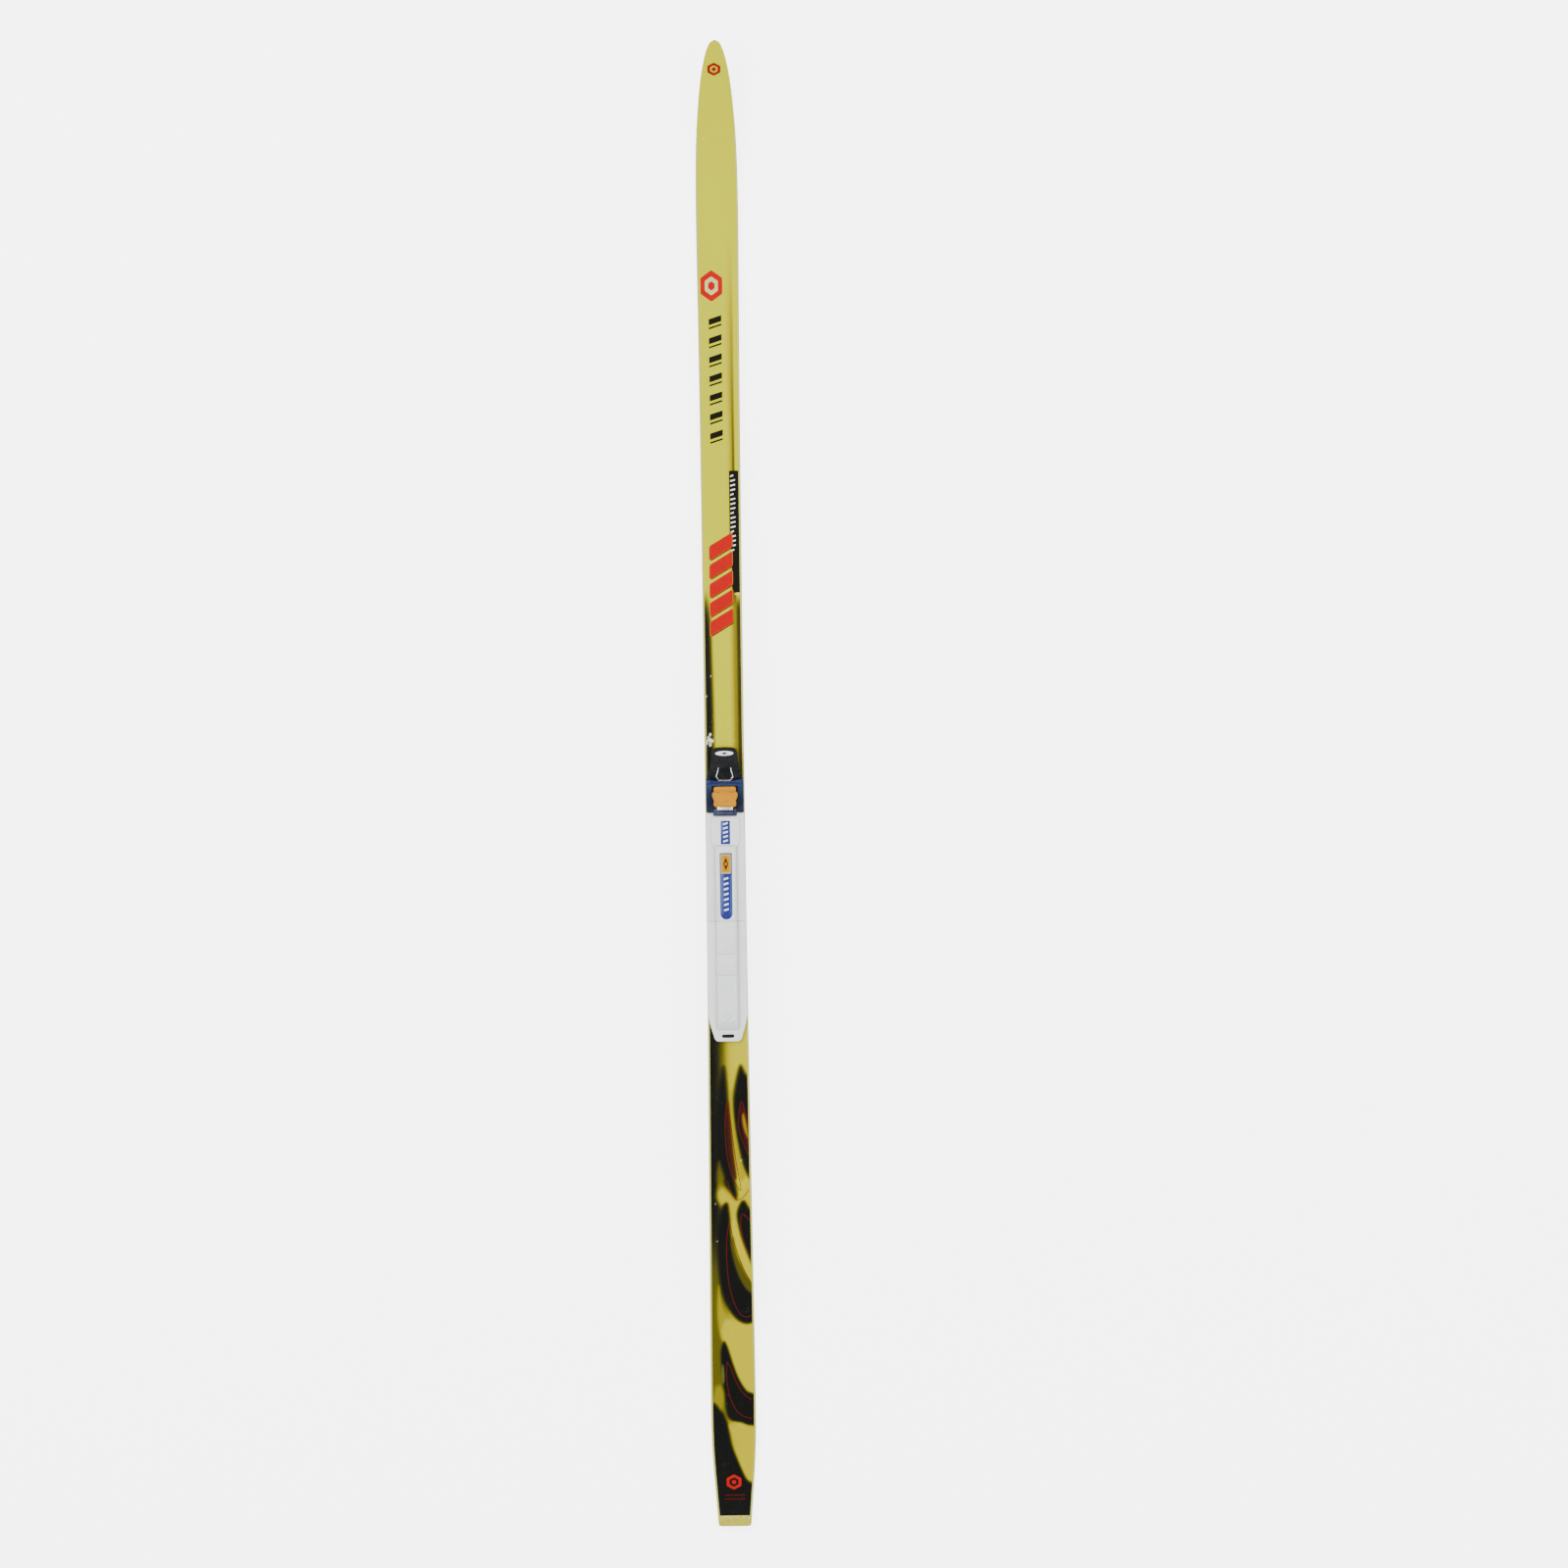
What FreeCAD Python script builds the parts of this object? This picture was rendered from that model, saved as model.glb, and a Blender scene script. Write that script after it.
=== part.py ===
"""Cross country ski with a toe-bar binding, built as separate pieces.

Frame: +Y points to the tip, +X to the right, +Z up.  The origin lies on the snow plane (z = 0)
under the middle of the ski's length.  Sizes are in millimetres; the driving ones are on the
Params sheet.

Ski: running base with a centre groove and a stepped grip zone, lower laminate, wood core with
milled air channels, tip and tail fillers, sidewalls, screw plate, upper laminate, top sheet, top
edge strips and a tail guard.  The top of the ski is flat under the binding.

Binding: base, housing, front release lever on a steel pin, jaw slide with its spring, flexor,
rear bar seat, two guide plates with covers, and screws.  Pressing the rear of the lever down
drives the jaw slide forward, which opens the jaw over the boot's toe bar.
"""
import FreeCAD
import Part
import Sketcher
import math
import os

Vector = FreeCAD.Vector
ORIGIN, X_AXIS, Y_AXIS, Z_AXIS = Vector(), Vector(1, 0, 0), Vector(0, 1, 0), Vector(0, 0, 1)
doc = FreeCAD.newDocument("cross_country_ski")
sheet = doc.addObject("Spreadsheet::Sheet", "Params")

# alias, value, note
PARAMS = [
    # ski
    ("ski_half", 847.0, "half of the ski's projected length"),
    ("camber_rise", 15.0, "height of the base's arch above the snow"),
    ("front_contact", 620.0, "where the shovel leaves the snow"),
    ("rear_contact", -790.0, "where the tail leaves the snow"),
    ("tip_rise", 46.0, "height of the base at the tip"),
    ("tail_rise", 4.0, "height of the base at the tail"),
    ("flat_top", 41.0, "height of the flat binding area"),
    ("flat_front", 50.0, "front end of the flat binding area"),
    ("flat_rear", -300.0, "rear end of the flat binding area"),
    ("base_thick", 1.4, "running base"),
    ("lower_lam", 0.6, "lower laminate"),
    ("upper_lam", 0.7, "upper laminate"),
    ("sheet_thick", 0.7, "printed top sheet"),
    ("bond_gap", 0.04, "glue film between layers"),
    ("edge_wide", 2.2, "width of the top edge strip"),
    ("strip_front", 745.0, "front end of the top edge strips"),
    ("wall_wide", 5.0, "width of a sidewall"),
    ("core_front", 600.0, "front end of the wood core"),
    ("core_rear", -740.0, "rear end of the wood core"),
    ("guard_front", -834.8, "front face of the tail guard"),
    ("groove_wide", 7.0, "base groove width"),
    ("groove_deep", 0.8, "base groove depth"),
    ("grip_rear", -190.0, "rear end of the grip zone"),
    ("grip_pitch", 10.0, "length of one grip step"),
    ("grip_steps", 56, "number of grip steps"),
    ("grip_deep", 0.45, "depth of one grip step"),
    ("channel_wide", 6.0, "air channel width"),
    ("channel_space", 9.5, "air channel spacing"),
    ("screw_rad", 2.7, "screw shank radius"),
    ("drill_rad", 2.8, "drilled hole radius"),
    ("head_rad", 3.9, "screw head radius"),
    ("head_high", 2.6, "screw head height"),
    ("screw_deep", 15.0, "screw depth below the ski's top"),
    ("plate_thick", 1.6, "screw plate thickness"),
    # binding, heights above the ski's flat top
    ("floor_high", 3.0, "binding base floor"),
    ("bind_half", 21.2, "half width of the housing"),
    ("pin_y", 35.0, "lever pin, along the ski"),
    ("pin_z", 5.5, "lever pin, height"),
    ("pin_rad", 1.5, "lever pin radius"),
    ("pin_fit", 0.05, "running clearance of the lever on its pin"),
    ("lever_front", 42.1, "front edge of the lever"),
    ("lever_rear", 4.6, "rear edge of the lever"),
    ("lever_top", 15.6, "height of the lever"),
    ("lever_wall", 1.6, "wall of the lever"),
    ("house_front", 3.2, "front face of the housing, at the middle"),
    ("wing_front", 7.0, "front face of the housing, at its sides"),
    ("house_rear", -32.2, "rear end of the housing"),
    ("house_top", 13.0, "height of the housing"),
    ("deck_high", 8.0, "deck that carries the flexor"),
    ("deck_rear", -20.5, "rear end of the deck"),
    ("pocket_half", 15.0, "half width of the flexor pocket"),
    ("bar_y", -30.0, "toe bar axis, along the ski"),
    ("bar_z", 8.2, "toe bar axis, height"),
    ("bar_seat_rad", 2.05, "radius of the toe bar seat"),
    ("slide_half", 7.5, "half width of the jaw slide"),
    ("slide_low", 3.1, "underside of the jaw slide"),
    ("slide_high", 4.6, "top of the jaw slide"),
    ("jaw_half", 8.8, "half width of the jaw"),
    ("ramp_in", 8.6, "inner face of a ramp"),
    ("ramp_out", 12.0, "outer face of a ramp"),
    ("cam_y", 8.0, "lever cam, along the ski"),
    ("cam_z", 10.6, "lever cam, height"),
    ("cam_rad", 1.4, "lever cam radius"),
    ("spring_rad", 2.1, "jaw spring mean radius"),
    ("spring_wire", 0.35, "jaw spring wire radius"),
    ("spring_z", 4.4, "jaw spring axis height"),
    ("spring_rear", -17.0, "rear end of the jaw spring"),
    ("flexor_half", 13.4, "half width of the flexor"),
    ("plate_half", 22.2, "half width of the guide plates"),
    ("plate_high", 4.0, "height of the plates' boot rest"),
    ("ridge_high", 11.0, "height of the guide ridge"),
    ("ridge_low_half", 12.3, "half width of the ridge at its foot"),
    ("ridge_top_half", 10.2, "half width of the ridge at its top"),
    ("guide_front", -32.6, "front end of the guide plate"),
    ("guide_rear", -156.0, "rear end of the guide plate"),
    ("heel_front", -156.3, "front end of the heel plate"),
    ("heel_rear", -293.0, "rear end of the heel plate"),
    ("ridge_front", -71.0, "front end of the guide ridge"),
    ("cover_front", -193.5, "front end of the heel screw cover"),
    ("cover_rear", -218.0, "rear end of the heel screw cover"),
]
for row, (alias, value, note) in enumerate(PARAMS, start=1):
    sheet.set(f"A{row}", alias)
    sheet.set(f"B{row}", str(value))
    sheet.set(f"C{row}", note)
    sheet.setAlias(f"B{row}", alias)
doc.recompute()


class Size:
    """A number together with the sheet expression that gives it."""

    def __init__(self, value, text):
        self.value, self.text = float(value), text

    @staticmethod
    def of(x):
        return x if isinstance(x, Size) else Size(x, f"({float(x)})")

    def __add__(self, other):
        other = Size.of(other)
        return Size(self.value + other.value, f"({self.text} + {other.text})")

    def __sub__(self, other):
        other = Size.of(other)
        return Size(self.value - other.value, f"({self.text} - {other.text})")

    def __mul__(self, other):
        other = Size.of(other)
        return Size(self.value * other.value, f"({self.text} * {other.text})")

    def __neg__(self):
        return Size(-self.value, f"(0 - {self.text})")


class Dimensions:
    """Gives each sheet alias as a Size."""

    def __getattr__(self, name):
        return Size(getattr(sheet, name), "Params." + name)


dim = Dimensions()  # sheet values that carry their expression
mm = {alias: float(getattr(sheet, alias)) for alias, _, _ in PARAMS}  # plain numbers
ski_top = dim.flat_top
PARTS = []


def drive(obj, prop, size):
    """Binds a property to the sheet, if its size depends on it."""
    if "Params." in size.text:
        obj.setExpression(prop, size.text)


# ------------------------------------------------------------------ outlines
# A loop is a list of (x, y) corners, or a tuple (x, y, radius) for a circle.
def rectangle(x0, x1, y0, y1):
    return [(x0, y0), (x1, y0), (x1, y1), (x0, y1)]


def oblong(half, y0, y1):
    """A rectangle centred across the ski."""
    return rectangle(-half, half, y0, y1)


def mirrored(points):
    """A closed outline from its right half, given from one end of the centre line to the other."""
    left = [(-Size.of(x), y) for x, y in reversed(points) if abs(Size.of(x).value) > 1e-9]
    return list(points) + left


def sided(side, points):
    """The outline itself on the right (side 1), its mirror image on the left (side -1)."""
    points = [(Size.of(x) * side, y) for x, y in points]
    return points if side > 0 else points[::-1]


# A view is (plane, offset from it, loops).  Heights are measured from the ski's flat top.
def lifted(loops):
    return [
        (loop[0], ski_top + loop[1], loop[2]) if isinstance(loop, tuple)
        else [(along_plane, ski_top + height) for along_plane, height in loop]
        for loop in loops
    ]


def plan(height, *loops):
    """Loops in x and y at a height."""
    return "XY_Plane", ski_top + height, loops


def side_view(*loops, start=None):
    """Loops in y and height at x = start.  Without it, the feature is symmetric about x = 0."""
    return "YZ_Plane", start, lifted(loops)


def end_view(front, loop):
    """A loop in x and height at y = front; a pad runs rearward from it."""
    return "XZ_Plane", -Size.of(front), lifted([loop])


# ------------------------------------------------------------------ PartDesign helpers
def body(name):
    part = doc.addObject("PartDesign::Body", "Body_" + name)
    part.Label = name
    PARTS.append(part)
    return part


def fix_point(sketch, geometry, position, x, y):
    for axis, root, size in (("DistanceX", -2, x), ("DistanceY", -1, y)):
        size = Size.of(size)
        if abs(size.value) < 1e-9:
            on_axis = Sketcher.Constraint("PointOnObject", geometry, position, root)
            sketch.addConstraint(on_axis)
        else:
            distance = Sketcher.Constraint(axis, -1, 1, geometry, position, size.value)
            drive(sketch, f"Constraints[{sketch.addConstraint(distance)}]", size)


def polygon(sketch, points):
    first = sketch.GeometryCount
    count = len(points)
    corners = [Vector(Size.of(x).value, Size.of(y).value, 0) for x, y in points]
    for i in range(count):
        sketch.addGeometry(Part.LineSegment(corners[i], corners[(i + 1) % count]), False)
    for i in range(count):
        following = first + (i + 1) % count
        sketch.addConstraint(Sketcher.Constraint("Coincident", first + i, 2, following, 1))
    for i in range(count):
        fix_point(sketch, first + i, 1, *points[i])


def circle(sketch, x, y, radius):
    radius = Size.of(radius)
    centre = Vector(Size.of(x).value, Size.of(y).value, 0)
    ring = sketch.addGeometry(Part.Circle(centre, Z_AXIS, radius.value), False)
    fix_point(sketch, ring, 3, x, y)
    i = sketch.addConstraint(Sketcher.Constraint("Radius", ring, radius.value))
    drive(sketch, f"Constraints[{i}]", radius)


def add_feature(part, kind, view, length):
    """A pad or pocket from a view."""
    role, offset, loops = view
    sketch = part.newObject("Sketcher::SketchObject", "Sketch")
    plane = next(f for f in part.Origin.OriginFeatures if f.Role == role)
    sketch.AttachmentSupport = [(plane, "")]
    sketch.MapMode = "FlatFace"
    if offset is not None:
        offset = Size.of(offset)
        sketch.AttachmentOffset = FreeCAD.Placement(
            Vector(0, 0, offset.value), FreeCAD.Rotation()
        )
        drive(sketch, "AttachmentOffset.Base.z", offset)
    for loop in loops:
        if isinstance(loop, tuple):
            circle(sketch, *loop)
        else:
            polygon(sketch, loop)
    length = Size.of(length)
    feat = part.newObject("PartDesign::" + kind, kind)
    feat.Profile = sketch
    feat.Length = length.value
    drive(feat, "Length", length)
    if offset is None:
        feat.SideType = "Symmetric"
    return feat


def pad(part, view, length):
    add_feature(part, "Pad", view, length)
    doc.recompute()


def pocket(part, view, length):
    """Cuts along the view's normal; a length past the part's far side cuts right through."""
    before = part.Shape.Volume
    feat = add_feature(part, "Pocket", view, length)
    one_way = view[1] is not None
    feat.Reversed = one_way
    doc.recompute()
    # guards against a sketch with no material on that side of it
    if abs(part.Shape.Volume - before) < 1e-6 and one_way:
        feat.Reversed = False
        doc.recompute()
    if abs(part.Shape.Volume - before) < 1e-6:
        raise RuntimeError(f"a pocket in {part.Label} cuts nothing")


def on_sides(action, part, inner, outer, *loops):
    """Pads or pockets side-view loops between two distances from the middle, right then left."""
    for start in (inner, -Size.of(outer)):
        for loop in loops:
            action(part, side_view(loop, start=start), Size.of(outer) - inner)


def round_edges(part, pick, radius):
    """A fillet on the edges that pick(edge) chooses, left out if the solid can't take it."""
    base = part.Tip
    names = [f"Edge{i}" for i, e in enumerate(base.Shape.Edges, start=1) if pick(e)]
    if not names:
        return
    before = base.Shape.Volume
    fillet = part.newObject("PartDesign::Fillet", "Fillet")
    fillet.Base = (base, names)
    fillet.Radius = radius
    doc.recompute()
    bad = "Invalid" in fillet.State or "Error" in fillet.State or fillet.Shape.isNull()
    if bad or not fillet.Shape.isValid() or abs(fillet.Shape.Volume - before) > 0.2 * before:
        doc.removeObject(fillet.Name)
        part.Tip = base
        doc.recompute()


def upright(x_from, y_from=-1000.0, y_to=1000.0):
    """Picks upright edges at |x| >= x_from and y in the given range."""

    def pick(edge):
        box = edge.BoundBox
        if box.XLength > 0.01 or box.YLength > 0.01 or box.ZLength < 0.2:
            return False
        return abs(box.XMin) >= x_from and y_from <= box.YMin <= y_to

    return pick


def rest_edge(x_from, long_from):
    """Picks the outer edges of a plate's boot rest."""

    def pick(edge):
        box = edge.BoundBox
        return (
            abs(box.ZMin - mm["flat_top"] - mm["plate_high"]) < 0.02
            and box.ZLength < 0.02
            and abs(box.Center.x) > x_from
            and box.YLength > long_from
        )

    return pick


# ------------------------------------------------------------------ ski geometry
HALF = mm["ski_half"]
END = HALF + 6  # the side curves run past the ski's ends
MID_CONTACT = (mm["front_contact"] + mm["rear_contact"]) / 2
HALF_CONTACT = (mm["front_contact"] - mm["rear_contact"]) / 2
TIP_CURVE = mm["tip_rise"] / (HALF - mm["front_contact"]) ** 2
TAIL_CURVE = mm["tail_rise"] / (HALF + mm["rear_contact"]) ** 2


def base_z(y):
    """Height of the running surface."""
    if y > mm["front_contact"]:
        return TIP_CURVE * (y - mm["front_contact"]) ** 2
    if y < mm["rear_contact"]:
        return TAIL_CURVE * (y - mm["rear_contact"]) ** 2
    ratio = (y - MID_CONTACT) / HALF_CONTACT
    return mm["camber_rise"] * (1 - ratio * ratio) ** 2


# (y, height of the top), outward from the flat binding area
FRONT_TOP = [(120, 40.0), (220, 35.4), (330, 27.8), (450, 18.8), (560, 11.4)]
REAR_TOP = [(-360, 39.9), (-450, 34.8), (-550, 26.4), (-650, 17.6), (-730, 11.6)]
# (y, thickness above the running surface), further out
FRONT_THICK = [(630, 7.8), (690, 5.9), (750, 5.3), (800, 5.0), (END, 4.7)]
REAR_THICK = [(-790, 8.2), (-END, 6.9)]

# (distance from the tip, half width)
WIDTHS = [
    (3.0, 5.3), (7.5, 7.9), (12.0, 9.8), (18.7, 11.8), (29.9, 14.4), (41.0, 16.4),
    (52.3, 17.9), (66.0, 19.4), (85.8, 21.1), (102.6, 22.3), (121.0, 23.2), (153.0, 23.95),
    (190.0, 24.25), (240.0, 24.1), (310.0, 23.6), (399.0, 23.1), (511.0, 22.75),
    (645.0, 22.55), (757.0, 22.5), (903.0, 22.5), (1015.0, 22.7), (1127.0, 23.15),
    (1233.0, 23.75), (1345.0, 24.45), (1457.0, 25.15), (1530.0, 25.55), (1570.0, 25.55),
    (1596.0, 25.1), (1613.0, 24.4), (1630.0, 23.35), (1647.0, 22.1), (1664.0, 20.85),
    (1680.5, 19.6), (1690.0, 18.9),
]
TAIL_CORNER = 3.2  # width of a rounded tail corner


def low_edges(rise, rear=-END, front=END, count=61):
    """The running surface's side curve, raised."""
    stations = [rear + (front - rear) * i / (count - 1) for i in range(count)]
    curve = Part.BSplineCurve()
    curve.interpolate([Vector(0, y, base_z(y) + rise) for y in stations])
    return [curve.toShape()]


def top_edges(rise):
    """The top's side curve, raised, from the tail to the tip: spline, flat, spline."""

    def end_curve(flat_end, tops, thicks, first_tangent, last_tangent):
        points = [Vector(0, flat_end, mm["flat_top"] + rise)]
        points += [Vector(0, y, z + rise) for y, z in tops]
        points += [Vector(0, y, base_z(y) + thick + rise) for y, thick in thicks]
        curve = Part.BSplineCurve()
        curve.interpolate(Points=points, InitialTangent=first_tangent, FinalTangent=last_tangent)
        return points[0], curve.toShape()

    tip_slope = 2 * TIP_CURVE * (END - mm["front_contact"])
    tail_slope = 2 * TAIL_CURVE * (END + mm["rear_contact"])
    front_start, front = end_curve(
        mm["flat_front"], FRONT_TOP, FRONT_THICK, Y_AXIS, Vector(0, 1, tip_slope)
    )
    rear_start, rear = end_curve(
        mm["flat_rear"], REAR_TOP, REAR_THICK, Vector(0, -1, 0), Vector(0, -1, tail_slope)
    )
    return [rear, Part.makeLine(rear_start, front_start), front]


def ends(edges):
    """The rearmost and foremost vertices."""
    points = [v.Point for e in edges for v in e.Vertexes]
    return min(points, key=lambda p: p.y), max(points, key=lambda p: p.y)


def band(low, high, half_width=40.0):
    """The solid between two side curves, across the whole width."""
    low_rear, low_front = ends(low)
    high_rear, high_front = ends(high)
    edges = list(low) + [Part.makeLine(low_front, high_front)]
    edges += list(high) + [Part.makeLine(high_rear, low_rear)]
    face = Part.Face(Part.Wire(Part.__sortEdges__(edges)))
    face.translate(Vector(-half_width, 0, 0))
    return face.extrude(Vector(2 * half_width, 0, 0))


def outline_prism(inset=0.0, front=None):
    """A prism of the ski's plan, set in from its edge; with front, cut square there."""
    stations = sorted((HALF - distance, width) for distance, width in WIDTHS)
    last = len(stations) - 1
    points = []  # right edge, from the tail forward
    for i, (y, width) in enumerate(stations):
        y_before, width_before = stations[max(0, i - 1)]
        y_after, width_after = stations[i + 1] if i < last else (HALF, 0.0)
        run_y, run_x = y_after - y_before, width_after - width_before
        run = math.hypot(run_y, run_x)
        x, y_inset = width - inset * run_y / run, y + inset * run_x / run
        if x > 0.5 and (front is None or y_inset < front - 8):
            points.append(Vector(x, y_inset, 0))
    side = Part.BSplineCurve()
    if front is None:
        side.interpolate(
            Points=points + [Vector(0, HALF - inset, 0)],
            InitialTangent=Vector(0.42, 1, 0).normalize(),
            FinalTangent=Vector(-1, 0, 0),
        )
        closing = []
    else:
        side.interpolate(Points=points)
        closing = [Part.makeLine(points[-1], Vector(-points[-1].x, points[-1].y, 0))]
    right = side.toShape()
    start = points[0]
    tail = Vector(start.x - TAIL_CORNER, -HALF, 0)
    corner = Part.Arc(tail, Vector(start.x - 0.75, -HALF + 1.0, 0), start).toShape()
    edges = [
        Part.makeLine(Vector(-tail.x, tail.y, 0), tail),
        corner,
        right,
        *closing,
        right.mirror(ORIGIN, X_AXIS),
        corner.mirror(ORIGIN, X_AXIS),
    ]
    face = Part.Face(Part.Wire(Part.__sortEdges__(edges)))
    face.translate(Vector(0, 0, -5.0))
    return face.extrude(Vector(0, 0, 85.0))


def block(x0, x1, y0, y1, z0, z1):
    return Part.makeBox(x1 - x0, y1 - y0, z1 - z0, Vector(x0, y0, z0))


def along(y0, y1, x0=-60.0, x1=60.0):
    """A box over the ski's full height between two places along it."""
    return block(x0, x1, y0, y1, -20.0, 100.0)


def feature(name, shape):
    solids = shape.Solids
    if not solids:
        raise RuntimeError(name + " has no solid")
    obj = doc.addObject("Part::Feature", "Solid_" + name)
    obj.Label = name
    obj.Shape = solids[0] if len(solids) == 1 else Part.makeCompound(solids)
    PARTS.append(obj)


gap = mm["bond_gap"]
core_cut = mm["core_front"] + 60  # the inner outlines run past the core's front
full = outline_prism()
inner_strip = outline_prism(mm["edge_wide"] + gap)
strip_cut = outline_prism(mm["edge_wide"])
inner_wall = outline_prism(mm["wall_wide"], front=core_cut)
inner_core = outline_prism(mm["wall_wide"] + gap, front=core_cut)
guard_y = mm["guard_front"] + gap
ahead_of_guard = along(guard_y, HALF + 10)
core_zone = along(mm["core_rear"] + gap, mm["core_front"] - gap)
left_half = along(-900, 900, -60, 0)
right_half = along(-900, 900, 0, 60)

# layer limits above the running surface
base_top = mm["base_thick"]
lower_low = base_top + gap
lower_top = lower_low + mm["lower_lam"]
core_low = lower_top + gap
# layer limits from the ski's top
sheet_low = -mm["sheet_thick"]
upper_top = sheet_low - gap
upper_low = upper_top - mm["upper_lam"]
core_top = upper_low - gap

# (x, y, underside of the head above the ski's top)
DECK_SCREW_X, DECK_SCREW_Y = 11.0, -12.0
HOUSING_SCREWS = [
    (0.0, 24.0, mm["floor_high"]),
    (DECK_SCREW_X, DECK_SCREW_Y, mm["deck_high"]),
    (-DECK_SCREW_X, DECK_SCREW_Y, mm["deck_high"]),
]
GUIDE_SCREWS = [(0.0, -92.0, 6.9), (0.0, -140.0, 6.9)]
HEEL_SCREWS = [(5.6, -205.7, 6.4), (-5.6, -205.7, 6.4)]


def drilled(shape):
    """The shape with the holes of all the screws."""
    deep = mm["screw_deep"]
    for x, y, _ in HOUSING_SCREWS + GUIDE_SCREWS + HEEL_SCREWS:
        foot = Vector(x, y, mm["flat_top"] - deep - 0.5)
        shape = shape.cut(Part.makeCylinder(mm["drill_rad"], deep + 8.0, foot))
    return shape


# ------------------------------------------------------------------ running base
# smooth ends, stepped grip zone, centre groove
grip_edges = []
for step in range(int(mm["grip_steps"])):
    y0 = mm["grip_rear"] + mm["grip_pitch"] * step
    y1 = y0 + mm["grip_pitch"]
    step_start = Vector(0, y0, base_z(y0))
    deep = Vector(0, y1, base_z(y1) + mm["grip_deep"])
    flush = Vector(0, y1, base_z(y1))
    grip_edges += [Part.makeLine(step_start, deep), Part.makeLine(deep, flush)]
grip_front = mm["grip_rear"] + mm["grip_pitch"] * mm["grip_steps"]
rear_low = low_edges(0.0, rear=-END, front=mm["grip_rear"], count=31)
front_low = low_edges(0.0, rear=grip_front, front=END, count=31)
base = band(rear_low + grip_edges + front_low, low_edges(base_top))
base = base.common(full).common(ahead_of_guard)
groove = band(low_edges(-2.0), low_edges(mm["groove_deep"]), mm["groove_wide"] / 2)
base = base.cut(groove.common(along(guard_y + 12, mm["front_contact"] + 30)))
feature("running_base", base)

# ------------------------------------------------------------------ lower laminate
lower = band(low_edges(lower_low), low_edges(lower_top))
feature("lower_laminate", lower.common(full).common(ahead_of_guard))

# ------------------------------------------------------------------ core and screw plate
SCREW_PLATE = (15.0, -216.0, 34.0)  # half width, rear end, front end
CHANNEL_FLOOR = 3.0  # wood left under the air channels
CHANNEL_RUNS = [(70.0, 430.0), (-560.0, -250.0)]  # front pair of ends, rear pair of ends


def screw_plate_block(room, top):
    half, rear, front = SCREW_PLATE
    low = mm["flat_top"] + core_top - mm["plate_thick"] - room
    return block(-half - room, half + room, rear - room, front + room, low, top)


core_band = band(low_edges(core_low), top_edges(core_top))
core = core_band.common(inner_core).common(core_zone)
core = core.cut(screw_plate_block(gap, mm["flat_top"] + 5))
channel_band = band(
    low_edges(core_low + CHANNEL_FLOOR), low_edges(80.0), mm["channel_wide"] / 2
)
for x in (-mm["channel_space"], 0.0, mm["channel_space"]):
    for y0, y1 in CHANNEL_RUNS:
        channel = channel_band.common(along(y0, y1))
        channel.translate(Vector(x, 0, 0))
        core = core.cut(channel)
feature("wood_core", drilled(core))
feature("screw_plate", drilled(screw_plate_block(0.0, mm["flat_top"] + core_top)))

# ------------------------------------------------------------------ fillers and sidewalls
whole_core = core_band.common(full)
feature("tip_filler", whole_core.common(along(mm["core_front"] + gap, HALF + 10)))
feature("tail_filler", whole_core.common(along(guard_y, mm["core_rear"] - gap)))
walls = whole_core.cut(inner_wall).common(core_zone)
feature("sidewall_left", walls.common(left_half))
feature("sidewall_right", walls.common(right_half))

# ------------------------------------------------------------------ upper layers
tip_zone = full.common(along(mm["strip_front"] + gap, HALF + 10))


def between_strips(layer):
    """The layer set in beside the edge strips and full width ahead of them."""
    rear = layer.common(inner_strip).common(along(guard_y, mm["strip_front"] + gap))
    front = layer.common(tip_zone)
    return rear.fuse(front).removeSplitter()


upper = band(top_edges(upper_low), top_edges(upper_top))
feature("upper_laminate", drilled(between_strips(upper)))
printed = band(top_edges(sheet_low), top_edges(0.0))
feature("top_sheet", drilled(between_strips(printed)))
strips = band(top_edges(upper_low), top_edges(0.0)).common(full).cut(strip_cut)
strips = strips.common(along(guard_y, mm["strip_front"]))
feature("top_edge_left", strips.common(left_half))
feature("top_edge_right", strips.common(right_half))

# ------------------------------------------------------------------ tail guard
guard = band(low_edges(0.0), top_edges(0.0)).common(full)
feature("tail_guard", guard.common(along(-HALF - 5, mm["guard_front"])))

# ------------------------------------------------------------------ shared binding sizes
play = 0.05  # clearance under the housing, the flexor and the plates, and at the spring's ends
sink = 0.2  # how far an added block starts inside the one below
cavity_half = 12.9  # base tail, bar seat and the housing's underside cavity
spring_room = 2.9  # half width of the spring's channels
slide_room = dim.slide_half + 0.2
house_low = dim.floor_high + play

# ------------------------------------------------------------------ binding base
part = body("binding_base")
pad(part, plan(0, mirrored([
    (0, 38.6), (12.6, 38.6), (13.6, 30), (16.6, 15), (19.4, dim.wing_front),
    (dim.bind_half - 0.6, dim.wing_front - 2.5), (dim.bind_half - 0.6, dim.house_rear + 0.6),
    (cavity_half, dim.house_rear + 0.6), (cavity_half, -35.9), (0, -35.9),
])), dim.floor_high)
# rails beside the slide
rail = rectangle(slide_room, 12.8, dim.deck_rear, dim.house_front - 0.4)
for side in (1, -1):
    pad(part, plan(dim.floor_high - sink, sided(side, rail)), sink + 1.8)
# side walls inside the lever
lever_side_wall = [
    (10.2, 29.5), (11.6, 29.5), (11.6, 25.2), (13.1, 18.8), (14.6, 14.0),
    (15.6, 10.6), (14.2, 10.6), (13.2, 14.0), (11.7, 18.8), (10.2, 25.2),
]
for side in (1, -1):
    pad(part, plan(dim.floor_high - sink, sided(side, lever_side_wall)), 3.5)
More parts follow.
